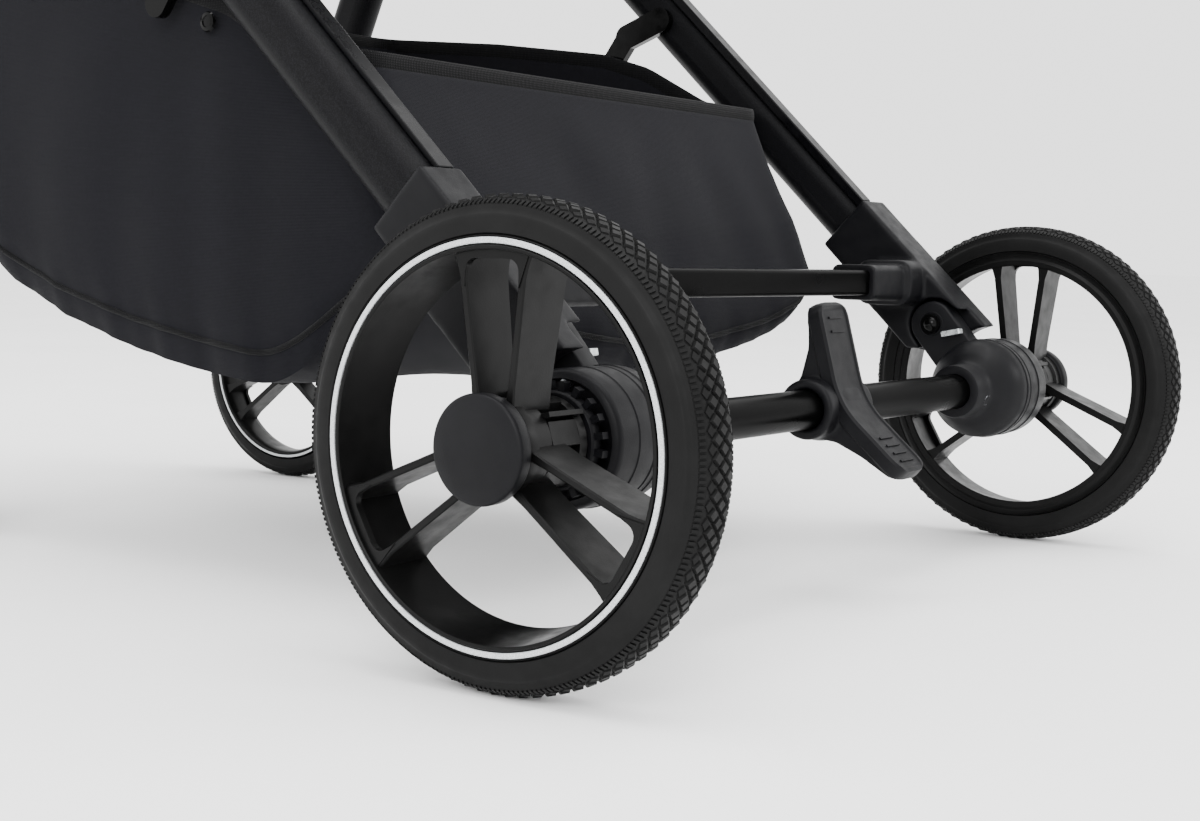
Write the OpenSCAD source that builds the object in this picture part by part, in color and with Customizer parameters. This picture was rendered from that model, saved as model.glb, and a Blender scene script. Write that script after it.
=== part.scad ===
// A folding four-wheel baby stroller: swivel front wheels, a sprung rear axle with
// a rocker brake pedal, a cargo basket, a reclining seat, a bumper bar and a canopy.
// Side-plane points are [y, z], measured from the ground under the rear axle.
// +X is the stroller's left, +Y its rear, +Z up; millimetres.

/* [Rear wheels] */
// Outside diameter of the rear tyres
rear_wheel_d = 216; // [200:2:224]
// Distance between the middles of the rear tyres
rear_track = 583; // [575:1:600]
// Width of the rear tyres
rear_tyre_w = 31; // [26:1:34]
// Diameter of the plug axles of the rear wheels
plug_axle_d = 10; // [8:0.5:12]

/* [Front wheels] */
// Outside diameter of the front tyres
front_wheel_d = 184; // [170:2:190]
// Distance between the middles of the front tyres
front_track = 372; // [366:1:380]
// Width of the front tyres
front_tyre_w = 24; // [20:1:26]
// How far the front axles trail behind the swivel axes
caster_trail = 27; // [20:1:32]

/* [Frame] */
// Distance from the rear axle forward to the front axle
wheelbase = 593; // [570:1:640]
// Height of the fold pivot
fold_pivot_h = 560; // [540:1:600]
// Distance from the rear axle forward to the fold pivot
fold_pivot_fwd = 465; // [440:1:480]
// Width of the leg and handle tubes, across the stroller
tube_w = 25; // [20:1:26]
// Depth of the rear leg tubes
rear_leg_d = 34; // [30:1:38]
// Depth of the front leg tubes
front_leg_d = 36; // [30:1:38]
// Wall of all the frame tubes
tube_wall = 1.8; // [1.2:0.1:2.5]
// Length of the handlebar from the fold pivot to the grip
handle_len = 700; // [680:5:740]
// Slope of the handlebar above the horizontal
handle_angle = 42; // [38:1:46]

/* [Rear suspension and brake] */
// Height of the swing arm pivots
swing_pivot_h = 149; // [144:1:154]
// Distance from the rear axle forward to the swing arm pivots
swing_pivot_fwd = 35; // [32:1:40]
// Diameter of the cross tube that joins the axle housings
axle_tube_d = 22; // [18:1:25]
// Diameter of the axle housings
housing_d = 64; // [60:1:66]
// Width of the brake pedal pads
pedal_w = 34; // [28:1:42]
// Number of teeth on each brake ring
brake_teeth = 20; // [20:4:24]

/* [Basket] */
// Outside width of the basket
basket_w = 424; // [380:2:424]
// Thickness of the basket cloth, as a solid
basket_wall = 3; // [2:0.5:4]

/* [Seat] */
// Width of the seat cushion, the backrest and the leg rest
seat_w = 330; // [280:5:340]
// Thickness of the seat cushion
cushion_t = 40; // [30:1:50]
// Length of the backrest
backrest_len = 430; // [400:5:450]
// Slope of the upright backrest above the horizontal
backrest_angle = 64; // [60:1:70]

/* [Canopy] */
// Length of the canopy bows from their pivots
bow_len = 235; // [215:5:245]
// Distance of the canopy pivots along the handlebar
bow_pivot_along = 340; // [330:5:350]

/* [Hidden] */
left = 1;
right = -1;
gap = 0.15; // room around a piece held by another of the same body
plug_gap = 0.4; // room around a plug inside a tube's end
bead_grip = 0.1; // how far a rim stretches its tyre
running = 0.05; // radial room of a running fit

rear_r = rear_wheel_d / 2;
front_r = front_wheel_d / 2;
rear_rim_r = rear_r - 17.7;
front_rim_r = front_r - 15.2;
rear_axle_y = (wheelbase + front_r - rear_r) / 2;
rear_x = rear_track / 2;
front_x = front_track / 2;
swivel_y = -wheelbase - caster_trail;

fold_pivot = [-fold_pivot_fwd, fold_pivot_h];
swing_pivot = [-swing_pivot_fwd, swing_pivot_h];
axle = [0, rear_r];
leg_x = 232; // middle plane of the rear legs and the handlebar tubes
front_leg_x = 204; // middle plane of the front legs
leg_dir = (swing_pivot - fold_pivot) / norm(swing_pivot - fold_pivot);
leg_len = norm(swing_pivot - fold_pivot);
handle_dir = [cos(handle_angle), sin(handle_angle)];
front_foot = [swivel_y + 18, 242];
front_dir = (front_foot - fold_pivot) / norm(front_foot - fold_pivot);

handle_d = 32;
handle_corner = 60;

knuckle_r = 32;
hub_x = [190, 217.4];
handle_knuckle_x = [217.8, 231];
rear_knuckle_x = [232.2, 246];
fold_pin_r = 6;

// Distances along a rear leg, up from the swing pivot
seam_u = 97;
leg_end_u = 52;
crossbar_u = 39;
bracket_x = [216, 248];
housing_x = [206, 250];
brake_ring_x = [255, 262];
brake_pin_r = 2;
brake_pin_at = 25;

seat_rear = [-255, 545];
seat_front = [-528, 545];
seat_frame_half = 189.6;
arm_top = [-405, 720];
bumper_len = 235;
bow_pivot = fold_pivot + bow_pivot_along * handle_dir;
bow_rest = [55, 63, 71]; // slopes of the rear, middle and front bows when folded back
bow_x = [208.8, 202.4, 196];
backrest_hinge = seat_rear + [6, 10];
leg_rest_hinge = seat_front + [-25, -19];

// ---- Helpers ----

// Moves pieces from the rear axle's ground point to the middle of the footprint
module placed() { translate([0, rear_axle_y, 0]) children(); }

// One side's piece: drawn on the left, mirrored for the right
module sided(side) { mirror([side == left ? 0 : 1, 0, 0]) placed() children(); }

// A left and a right copy as separate solids of one node
module both() { for (side = [left, right]) sided(side) children(); }

// Stands children, built up +Z, on point a in plane x, leaning towards point b
module along(x, a, b) {
    translate([x, a.x, a.y]) rotate([-atan2(b.x - a.x, b.y - a.y), 0, 0]) children();
}

// Extrudes a side-plane outline, drawn as [y, z], between two values of x
module across(x0, x1) {
    translate([x0, 0, 0]) rotate([90, 0, 90]) linear_extrude(x1 - x0) children();
}

// A cylinder along X at a side-plane point
module x_rod(p, r, x0, x1) { translate([x0, p.x, p.y]) rotate([0, 90, 0]) cylinder(h = x1 - x0, r = r); }

// A turned shape about a line along X: drawn as [radius, distance in x]
module x_turned(p, x) { translate([x, p.x, p.y]) rotate([0, 90, 0]) rotate_extrude() children(); }

// A slot outline: w across, d deep, with round ends
module slot_2d(w, d) {
    square([w, d - w], center = true);
    for (s = [-1, 1]) translate([0, s * (d - w) / 2]) circle(d = w);
}

// A straight bar between two points; its round ends are a hair wider than it is
module bar_2d(a, b, w) {
    translate(a) rotate(atan2(b.y - a.y, b.x - a.x)) translate([0, -w / 2]) square([norm(b - a), w]);
    for (p = [a, b]) translate(p) circle(d = w + 0.04);
}

// A rectangle with one corner radius
module rounded_2d(x, y, r) {
    translate([r, 0]) square([x - 2 * r, y]);
    translate([0, r]) square([x, y - 2 * r]);
    for (i = [r, x - r], j = [r, y - r]) translate([i, j]) circle(r = r);
}

// A hollow tube with a slot section, up +Z
module slot_tube(d, len) {
    difference() {
        linear_extrude(len) slot_2d(tube_w, d);
        translate([0, 0, -1])
            linear_extrude(len + 2) slot_2d(tube_w - 2 * tube_wall, d - 2 * tube_wall);
    }
}

// A U-shaped bow in the XZ plane: arms up from z = 0, a bar of section w by d at the top
module bow(half, len, corner, w, d) {
    for (s = [-1, 1]) {
        translate([s * half, 0, 0]) linear_extrude(len - corner) slot_2d(w, d);
        translate([s * (half - corner), 0, len - corner]) rotate([90, 0, 0])
            rotate([0, 0, s > 0 ? 0 : 90])
                rotate_extrude(angle = 90) translate([corner, 0]) slot_2d(w, d);
    }
    translate([corner - half, 0, len]) rotate([0, 90, 0])
        linear_extrude(2 * (half - corner)) slot_2d(w, d);
}

// ---- Wheels ----

// A tyre's half section, flat at the bead and round at the shoulders: [radius, width]
module tyre_2d(bead_r, outer_r, w, shoulder) {
    translate([bead_r, -w / 2]) square([outer_r - shoulder - bead_r, w]);
    translate([bead_r, shoulder - w / 2]) square([outer_r - bead_r, w - 2 * shoulder]);
    for (s = [-1, 1]) translate([outer_r - shoulder, s * (w / 2 - shoulder)]) circle(r = shoulder);
}

// Three pairs of spokes as flat blades, up the X axis of the wheel
module spokes(r0, r1, x0, x1, w0, w1, spread) {
    across(x0, x1) for (turn = [90, 210, 330], s = [-1, 1])
        rotate(turn + s * spread)
            polygon([[r0, -w0 / 2], [r1, -w1 / 2], [r1, w1 / 2], [r0, w0 / 2]]);
}

module rear_tyre(side) {
    color([0.1, 0.1, 0.1]) sided(side)
        x_turned(axle, rear_x) tyre_2d(rear_rim_r - bead_grip, rear_r, rear_tyre_w, 9);
}

module rear_rim(side) {
    barrel_r = rear_rim_r;
    hub_r = 20;
    color([0.12, 0.12, 0.12]) sided(side) difference() {
        union() {
            x_turned(axle, rear_x) difference() {
                translate([barrel_r - 5.7, -16]) square([5.7, 32]);
                translate([barrel_r - 4.2, 15.3]) square([3.4, 2]);
            }
            translate([rear_x, axle.x, axle.y]) spokes(hub_r - 3, barrel_r - 4.5, -9, 9, 14, 10, 14);
            x_rod(axle, hub_r, brake_ring_x[1] - 0.5, rear_x + 14);
            x_rod(axle, 23, brake_ring_x[0], brake_ring_x[1]);
            for (i = [0 : brake_teeth - 1]) translate([0, axle.x, axle.y])
                rotate([(i + 0.5) * 360 / brake_teeth, 0, 0])
                    translate([brake_ring_x[0], 22, -1.5]) cube([7, 6, 3]);
        }
        x_rod(axle, plug_axle_d / 2 + running, brake_ring_x[0] - 1, rear_x + 15);
    }
}

module rear_ring(side) {
    barrel_r = rear_rim_r;
    color([0.8, 0.8, 0.8]) sided(side)
        x_turned(axle, rear_x) translate([barrel_r - 4, 15.45]) square([3, 0.95]);
}

module rear_hub_cap(side) {
    color([0.1, 0.1, 0.1]) sided(side) difference() {
        x_rod(axle, 24, rear_x + 14.2, rear_x + 24);
        x_rod(axle, plug_axle_d / 2 + 3, rear_x + 14, rear_x + 20);
    }
}

module wheel_axles() {
    color([0.6, 0.6, 0.62]) both() x_rod(axle, plug_axle_d / 2, housing_x[0] + 4, rear_x + 18);
}

module front_tyre(side) {
    color([0.1, 0.1, 0.1]) sided(side)
        x_turned([-wheelbase, front_r], front_x)
            tyre_2d(front_rim_r - bead_grip, front_r, front_tyre_w, 8);
}

module front_rim(side) {
    barrel_r = front_rim_r;
    color([0.12, 0.12, 0.12]) sided(side) difference() {
        union() {
            x_turned([-wheelbase, front_r], front_x) translate([barrel_r - 5, -11.5]) square([5, 23]);
            translate([front_x, -wheelbase, front_r]) spokes(13, barrel_r - 4, -7, 7, 11, 8, 14);
            x_rod([-wheelbase, front_r], 16, front_x - 14, front_x + 14);
        }
        x_rod([-wheelbase, front_r], 4 + running, front_x - 15, front_x + 15);
    }
}

module front_axle(side) {
    color([0.55, 0.55, 0.57]) sided(side) {
        x_rod([-wheelbase, front_r], 4, front_x - 24, front_x + 24);
        for (x = [front_x - 25, front_x + 22.2]) x_rod([-wheelbase, front_r], 7, x, x + 2.8);
    }
}

// ---- Rear suspension and brake ----

module axle_housing(side) {
    color([0.11, 0.11, 0.11]) sided(side) difference() {
        union() {
            x_rod(axle, 14.5, 180, 200);
            translate([192, axle.x, axle.y]) rotate([0, 90, 0]) cylinder(h = 8, r1 = 16, r2 = 23);
            translate([200, axle.x, axle.y]) rotate([0, 90, 0]) cylinder(h = 12, r1 = 26, r2 = housing_d / 2);
            x_rod(axle, housing_d / 2, housing_x[0] + 6, housing_x[1]);
            // Swing arm, from the housing up to its eye
            across(213.5, 228) bar_2d(swing_pivot, swing_pivot * 0.25 + axle * 0.75, 30);
        }
        x_rod(axle, axle_tube_d / 2 + gap, 179, housing_x[0] - 1);
        x_rod(axle, plug_axle_d / 2 + gap, housing_x[0] + 3, housing_x[1] + 1);
        // Open cup on the wheel's side, round the boss that carries the plug axle
        difference() {
            x_rod(axle, housing_d / 2 - 4, 230, housing_x[1] + 1);
            x_rod(axle, 10, 229, housing_x[1] + 2);
        }
        x_rod(swing_pivot, 8 + gap, 213, 229);
        x_rod(axle + [0, brake_pin_at], brake_pin_r + running, 220, 232);
        release_tab_shape(gap, 216.5);
    }
}

module axle_tube() {
    end = housing_x[0] - 1.5;
    color([0.08, 0.08, 0.08]) placed() difference() {
        x_rod(axle, axle_tube_d / 2, -end, end);
        x_rod(axle, axle_tube_d / 2 - tube_wall, -end - 1, end + 1);
    }
}

module brake_pin(side) {
    color([0.5, 0.5, 0.5]) sided(side)
        x_rod(axle + [0, brake_pin_at], brake_pin_r, 224, brake_ring_x[0] - 2);
}

module brake_pedal() {
    half = pedal_w / 2;
    upper = axle + [-2, 54];
    lower = axle + [50, -31];
    elbow = axle + [13, 3];
    color([0.12, 0.12, 0.12]) placed() difference() {
        union() {
            x_rod(axle, 17, -half - 9, half + 9);
            across(-half, half) { bar_2d(elbow, upper, 9); bar_2d(elbow, lower, 9); }
            across(-4, 4) polygon([axle, upper, elbow, lower]);
        }
        x_rod(axle, axle_tube_d / 2 + running, -half - 10, half + 10);
    }
}

// The wheel release: a steel tab in the face of the swing arm
module release_tab_shape(room, outer_x) {
    at = swing_pivot + [16, -5];
    translate([207.5, at.x, at.y]) rotate([12, 0, 0]) translate([0, -6.5 - room, -1.75 - room])
        cube([outer_x - 207.5 + room, 13 + 2 * room, 3.5 + 2 * room]);
}

module release_tab(side) { color([0.75, 0.76, 0.77]) sided(side) release_tab_shape(0, 214); }

module pivot_pins() {
    color([0.06, 0.06, 0.06]) both() {
        x_rod(swing_pivot, 5, 213.8, 240);
        x_rod(swing_pivot, 6.5, 210.8, 213.3);
        x_rod(swing_pivot, 4.9, 213.2, 214);
    }
}

module suspension_bushes() {
    color([0.2, 0.2, 0.2]) both() difference() {
        x_rod(swing_pivot, 8 - running, 214, 228);
        x_rod(swing_pivot, 5 + gap, 213, 229);
    }
}

// ---- Rear frame ----

// Side outline of a rear bracket, drawn as [across the leg, up the leg]
module bracket_2d() {
    translate([-21, 20]) square([42, seam_u - 20]);
    polygon([[-25.5, 48], [-25.5, 2], [-14, -20], [21, -26], [21, 48]]);
}

module rear_bracket(side) {
    crossbar_at = swing_pivot - crossbar_u * leg_dir;
    color([0.12, 0.12, 0.12]) sided(side) difference() {
        union() {
            along(bracket_x[0], swing_pivot, fold_pivot)
                rotate([90, 0, 90]) linear_extrude(bracket_x[1] - bracket_x[0]) bracket_2d();
            translate([152, crossbar_at.x, crossbar_at.y])
                rotate([90, 0, 90]) linear_extrude(66) rotate(90) slot_2d(23, 32);
            translate([196, crossbar_at.x, crossbar_at.y])
                rotate([90, 0, 90]) linear_extrude(22) rotate(90) slot_2d(30, 40);
        }
        // Socket of the leg
        along(leg_x, swing_pivot - leg_end_u * leg_dir, fold_pivot)
            linear_extrude(seam_u) slot_2d(tube_w + 2 * gap, rear_leg_d + 2 * gap);
        // Socket of the cross tube
        translate([150, crossbar_at.x, crossbar_at.y])
            rotate([90, 0, 90]) linear_extrude(52) rotate(90) slot_2d(16 + 2 * gap, 24 + 2 * gap);
        // Pocket in which the swing arm moves
        across(bracket_x[0] - 4, 229.5) {
            bar_2d(swing_pivot, axle, 33);
            bar_2d(swing_pivot, axle + [0, 8], 33);
            bar_2d(swing_pivot, axle + [14, 16], 33);
        }
        x_rod(swing_pivot, 5 + gap, 212, 241);
        // Room for the axle housing over the spring travel
        for (p = [axle, axle + [7, 6]]) x_rod(p, housing_d / 2 + 1.5, 200, 260);
    }
}

module crossbar() {
    crossbar_at = swing_pivot - crossbar_u * leg_dir;
    color([0.07, 0.07, 0.07]) placed() translate([-200, crossbar_at.x, crossbar_at.y])
        rotate([90, 0, 90]) linear_extrude(400) rotate(90) difference() {
            slot_2d(16, 24);
            slot_2d(16 - 2 * tube_wall, 24 - 2 * tube_wall);
        }
}

module rear_leg(side) {
    start = leg_end_u + 0.5;
    color([0.2, 0.2, 0.21]) sided(side)
        along(leg_x, swing_pivot - start * leg_dir, fold_pivot)
            slot_tube(rear_leg_d, leg_len - start - knuckle_r - 6);
}

module leg_rails() {
    color([0.07, 0.07, 0.07]) both() along(leg_x, swing_pivot - (seam_u + 0.5) * leg_dir, fold_pivot)
        translate([-12.4, rear_leg_d / 2 - 3, 0]) difference() {
            cube([12, 6.2, leg_len - seam_u - knuckle_r - 8]);
            translate([12.4, -rear_leg_d / 2 + 3, -1])
                linear_extrude(leg_len) slot_2d(tube_w + 2 * gap, rear_leg_d + 2 * gap);
        }
}

// A pivot disc with a neck and a plug that fills a tube's end
module knuckle(x, depth, toward) {
    difference() {
        union() {
            x_rod(fold_pivot, knuckle_r, x[0], x[1]);
            along(x[0] < leg_x - 2 ? 226.2 : 237.4, fold_pivot + 20 * toward, fold_pivot + 60 * toward)
                translate([-4.5, -depth / 2 + 7, 0]) cube([9, depth - 14, 17.9]);
            along(leg_x, fold_pivot + 37 * toward, fold_pivot + 80 * toward) linear_extrude(43)
                slot_2d(tube_w - 2 * tube_wall - 2 * plug_gap, depth - 2 * tube_wall - 2 * plug_gap);
        }
        x_rod(fold_pivot, fold_pin_r + running, x[0] - 1, x[1] + 1);
    }
}

module rear_knuckles() { color([0.1, 0.1, 0.1]) both() knuckle(rear_knuckle_x, rear_leg_d, leg_dir); }

module handle_knuckles() {
    color([0.1, 0.1, 0.1]) both() knuckle(handle_knuckle_x, handle_d, handle_dir);
}

module basket_hangers() {
    color([0.08, 0.08, 0.08]) both() across(213, 219) {
        bar_2d([-258, 360], [-286, 349], 18);
        bar_2d([-285, 350], [-305, 322], 16);
    }
}

// The basket's lower edge from its rear hem to its front hem, [y, z]
basket_under = [
    [-165, 287], [-126, 206], [-106, 152], [-120, 131], [-160, 121], [-226, 123],
    [-320, 138], [-410, 162], [-480, 190], [-512, 225], [-515, 357]
];
basket_hem = [[-300, 331], [-262, 320], [-212, 293]];
basket_mid = [-340, 330];

module basket() {
    shrink = 1 - basket_wall / 95;
    inside = [for (p = basket_under) basket_mid + shrink * (p - basket_mid)];
    color([0.17, 0.17, 0.19]) placed() difference() {
        across(-basket_w / 2, basket_w / 2) polygon(concat(basket_under, basket_hem));
        across(basket_wall - basket_w / 2, basket_w / 2 - basket_wall)
            polygon(concat(inside, [[inside[10].x, 400], [inside[0].x, 400]]));
    }
}

// ---- Front frame ----

module front_leg(side) {
    len = norm(fold_pivot - front_foot);
    color([0.2, 0.2, 0.21]) sided(side)
        along(front_leg_x, front_foot - 18 * front_dir, fold_pivot)
            slot_tube(front_leg_d, len - 18 - knuckle_r - 8);
}

module fold_hub(side) {
    color([0.11, 0.11, 0.11]) sided(side) difference() {
        across(hub_x[0], hub_x[1]) {
            translate(fold_pivot) circle(r = knuckle_r + 2);
            bar_2d(fold_pivot, fold_pivot + 78 * front_dir, front_leg_d + 6);
        }
        along(front_leg_x, fold_pivot + 39 * front_dir, fold_pivot + 140 * front_dir)
            linear_extrude(80) slot_2d(tube_w + 2 * gap, front_leg_d + 2 * gap);
        x_rod(fold_pivot, fold_pin_r + gap, hub_x[0] - 1, hub_x[1] + 1);
    }
    color([0.11, 0.11, 0.11]) sided(side) difference() {
        across(202, hub_x[1]) difference() {
            bar_2d(fold_pivot, arm_top, 30);
            translate(fold_pivot) circle(r = knuckle_r + 1.5);
        }
        x_rod(arm_top, 5 + running, 201, hub_x[1] + 1);
    }
}

module fold_pins() {
    color([0.35, 0.35, 0.36]) both() {
        x_rod(fold_pivot, fold_pin_r, 192, 249);
        x_rod(fold_pivot, 16, 246.6, 251);
    }
}

module swivel_housings() {
    housing_z = [216, 262];
    lock_y = swivel_y - 25;
    color([0.11, 0.11, 0.11]) both() difference() {
        union() {
            translate([front_x, swivel_y, housing_z[0]]) cylinder(h = 46, r = 17);
            translate([front_x, lock_y, housing_z[0] + 6]) cylinder(h = 34, r = 8);
            translate([front_x - 8, lock_y, housing_z[0] + 6]) cube([16, 14, 34]);
            across(190, 218) bar_2d(front_foot + [4, 2], front_foot - 42 * front_dir, front_leg_d + 6);
        }
        translate([front_x, swivel_y, housing_z[0] - 1]) cylinder(h = 44, r = 6 + running);
        translate([front_x, lock_y, housing_z[0] - 1]) cylinder(h = 60, r = 3 + running);
        along(front_leg_x, front_foot - 17 * front_dir, fold_pivot)
            linear_extrude(80) slot_2d(tube_w + 2 * gap, front_leg_d + 2 * gap);
    }
}

module swivel_lock(side) {
    color([0.3, 0.3, 0.3]) sided(side) translate([front_x, swivel_y - 25, 0]) {
        translate([0, 0, 217]) cylinder(h = 52, r = 3);
        translate([0, 0, 263.5]) cylinder(h = 6, r = 7);
    }
}

module front_fork(side) {
    color([0.11, 0.11, 0.11]) sided(side) difference() {
        union() {
            translate([front_x, swivel_y, 200]) cylinder(h = 57, r = 6);
            translate([front_x, swivel_y, front_wheel_d + 6]) linear_extrude(23) {
                translate([-22.5, -26]) square([45, 56]);
                translate([0, -26]) circle(r = 9);
            }
            for (x = [front_x - 22, front_x + 16])
                across(x, x + 6) bar_2d([swivel_y + 6, front_wheel_d + 10], [-wheelbase, front_r], 26);
        }
        for (y = [-25, 25]) translate([front_x, swivel_y + y, 203]) cylinder(h = 20, r = 3.3);
        x_rod([-wheelbase, front_r], 4 + gap, front_x - 30, front_x + 30);
    }
}

// ---- Handlebar ----

module on_handle() { placed() along(0, fold_pivot, fold_pivot + handle_dir) children(); }

module handlebar() {
    start = knuckle_r + 6;
    inside_w = tube_w - 2 * tube_wall;
    inside_d = handle_d - 2 * tube_wall;
    color([0.2, 0.2, 0.21]) on_handle() difference() {
        translate([0, 0, start]) bow(leg_x, handle_len - start, handle_corner, tube_w, handle_d);
        translate([0, 0, start]) bow(leg_x, handle_len - start, handle_corner, inside_w, inside_d);
        for (s = [-1, 1]) translate([s * leg_x, 0, start - 1])
            linear_extrude(3) slot_2d(inside_w, inside_d);
        for (s = [-1, 1]) translate([s * 16, 0, handle_len - 14]) cylinder(h = 12, r = 3 + running);
    }
}

module handle_grip() {
    len = leg_x - handle_corner - 40;
    color([0.15, 0.13, 0.12]) on_handle() for (s = [-1, 1]) translate([s * 37, 0, handle_len])
        rotate([0, s * 90, 0]) difference() {
            linear_extrude(len) slot_2d(tube_w + 6, handle_d + 6);
            translate([0, 0, -1])
                linear_extrude(len + 2) slot_2d(tube_w + 2 * gap, handle_d + 2 * gap);
        }
}

module fold_button() {
    color([0.3, 0.3, 0.3]) on_handle() translate([0, 0, handle_len]) {
        translate([-26, -9, -30]) cube([52, 18, 9]);
        for (s = [-1, 1]) translate([s * 16, 0, -22]) cylinder(h = 13, r = 3);
    }
}

// ---- Seat ----

module seat_frame() {
    plate_z = 522;
    plate_t = 14;
    cheek_y = plate_z + plate_t / 2;
    color([0.12, 0.12, 0.12]) placed() difference() {
        union() {
            across(-seat_frame_half, seat_frame_half)
                translate([seat_front.x - 8, plate_z])
                    square([seat_rear.x - seat_front.x + 16, plate_t]);
            for (s = [-1, 1]) {
                // Cheeks against the fold hubs
                across(s * (seat_frame_half - 5) - 5, s * (seat_frame_half - 5) + 5)
                    bar_2d([fold_pivot.x, cheek_y], fold_pivot, 26);
                // Lugs of the backrest hinge and of the leg rest hinge
                across(s * 178 - 5, s * 178 + 5)
                    bar_2d([backrest_hinge.x, cheek_y], backrest_hinge, 20);
                across(s * 138 - 4, s * 138 + 4)
                    bar_2d([seat_front.x, cheek_y], leg_rest_hinge, 14);
            }
        }
        for (x = [-150, 20]) translate([x, seat_front.x + 20, plate_z - 1])
            cube([130, 220, plate_t + 2]);
        x_rod(backrest_hinge, 6 + running, -190, 190);
        x_rod(leg_rest_hinge, 4 + running, -150, 150);
    }
}

module seat_cushion() {
    color([0.17, 0.17, 0.19]) placed() translate([-seat_w / 2, seat_front.x, 537])
        translate([0, 0, 0]) linear_extrude(cushion_t) rounded_2d(seat_w, 262, 30);
}

// The backrest: built upwards from its hinge line along the rear edge of the seat
module on_backrest() {
    placed() translate([0, backrest_hinge.x, backrest_hinge.y])
        rotate([backrest_angle - 90, 0, 0]) children();
}

module backrest() {
    color([0.17, 0.17, 0.19]) on_backrest() {
        translate([-seat_w / 2, 26, 4]) rotate([90, 0, 0])
            linear_extrude(24) rounded_2d(seat_w, backrest_len - 4, 30);
        // Hinge tube across the foot of the backrest
        x_rod([0, 0], 6, -182, 182);
    }
}

module leg_rest() {
    color([0.17, 0.17, 0.19]) placed() {
        translate([-130, leg_rest_hinge.x - 9, leg_rest_hinge.y + 8 - 140])
            rotate([90, 0, 90]) linear_extrude(260) rounded_2d(18, 140, 8);
        x_rod(leg_rest_hinge, 4, -141.5, 141.5);
    }
}

module bumper_bar() {
    color([0.15, 0.13, 0.12]) placed() translate([0, arm_top.x, arm_top.y]) rotate([90, 0, 0])
        bow(192, bumper_len, 90, 15, 24);
    color([0.15, 0.13, 0.12]) placed() for (s = [-1, 1]) x_rod(arm_top, 14, s * 192 - 7.5, s * 192 + 7.5);
    color([0.15, 0.13, 0.12]) both() x_rod(arm_top, 5, 196, 216);
}

// ---- Canopy ----

module on_bow(slope) {
    placed() translate([0, bow_pivot.x, bow_pivot.y]) rotate([slope - 90, 0, 0]) children();
}

module canopy_bow(i) {
    color([0.1, 0.1, 0.1]) difference() {
        union() {
            on_bow(bow_rest[i]) bow(bow_x[i], bow_len, 80, 5, 9);
            placed() for (s = [-1, 1]) x_rod(bow_pivot, 11, s * bow_x[i] - 3, s * bow_x[i] + 3);
        }
        if (i > 0) placed() x_rod(bow_pivot, 4 + running, -300, 300);
    }
}

module canopy_rear_bow() {
    canopy_bow(0);
    color([0.1, 0.1, 0.1]) both() {
        x_rod(bow_pivot, 4, 193, 219);
        x_rod(bow_pivot, 14, 211.5, 219);
    }
}

module canopy() {
    color([0.17, 0.17, 0.19]) on_bow(bow_rest[1]) translate([0, 36, 60]) rotate([90, 0, 0])
        linear_extrude(72) difference() {
            translate([-217.8, 0]) rounded_2d(435.6, bow_len - 40, 62);
            translate([-214.8, -10]) rounded_2d(429.6, bow_len - 33, 60);
            translate([-230, -10]) square([460, 50]);
        }
}

// ---- Harness ----

module harness() {
    color([0.1, 0.1, 0.1]) on_backrest() for (s = [-1, 1])
        translate([s * 60 - 12.5, -0.3, 60]) cube([25, 2, 250]);
}

buckle_at = [-440, 579];

module buckle() {
    color([0.1, 0.1, 0.1]) placed() translate([0, buckle_at.x, buckle_at.y]) difference() {
        translate([-22, -25, 0]) linear_extrude(14) rounded_2d(44, 50, 10);
        translate([0, 0, 5]) cylinder(h = 12, r = 9 + running);
    }
}

module buckle_button() {
    color([0.6, 0.15, 0.12]) placed() translate([0, buckle_at.x, buckle_at.y + 9]) cylinder(h = 7, r = 9);
}

rear_tyre(left);  // rear_tyre_left
rear_tyre(right);  // rear_tyre_right
rear_rim(left);  // rear_rim_left
rear_rim(right);  // rear_rim_right
rear_ring(left);  // rear_ring_left
rear_ring(right);  // rear_ring_right
rear_hub_cap(left);  // rear_hub_cap_left
rear_hub_cap(right);  // rear_hub_cap_right
wheel_axles();
axle_housing(left);  // axle_housing_left
axle_housing(right);  // axle_housing_right
axle_tube();
brake_pedal();
brake_pin(left);  // brake_pin_left
brake_pin(right);  // brake_pin_right
release_tab(left);  // release_tab_left
release_tab(right);  // release_tab_right
pivot_pins();
suspension_bushes();
rear_bracket(left);  // rear_bracket_left
rear_bracket(right);  // rear_bracket_right
crossbar();
rear_leg(left);  // rear_leg_left
rear_leg(right);  // rear_leg_right
leg_rails();
rear_knuckles();
basket_hangers();
basket();
front_leg(left);  // front_leg_left
front_leg(right);  // front_leg_right
fold_hub(left);  // fold_hub_left
fold_hub(right);  // fold_hub_right
fold_pins();
swivel_housings();
swivel_lock(left);  // swivel_lock_left
swivel_lock(right);  // swivel_lock_right
front_fork(left);  // front_fork_left
front_fork(right);  // front_fork_right
front_axle(left);  // front_axle_left
front_axle(right);  // front_axle_right
front_tyre(left);  // front_tyre_left
front_tyre(right);  // front_tyre_right
front_rim(left);  // front_rim_left
front_rim(right);  // front_rim_right
handlebar();
handle_knuckles();
handle_grip();
fold_button();
seat_frame();
seat_cushion();
backrest();
leg_rest();
bumper_bar();
canopy_bow(2);  // canopy_front_bow
canopy_bow(1);  // canopy_middle_bow
canopy_rear_bow();
canopy();
harness();
buckle();
buckle_button();
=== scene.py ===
# %% [markdown]
# # A folding baby stroller
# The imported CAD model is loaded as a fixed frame. Wheels, mouldings and every soft part
# get detailed meshes in the same places, and every surface gets a procedural material.
# Positions are written in millimetres from the ground under the rear axle:
# +X is the stroller's left, +Y its rear, +Z up.

# %% Load the frame
import math

import bmesh
import bpy
from mathutils import Matrix, Vector, noise
from mathutils.bvhtree import BVHTree


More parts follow.
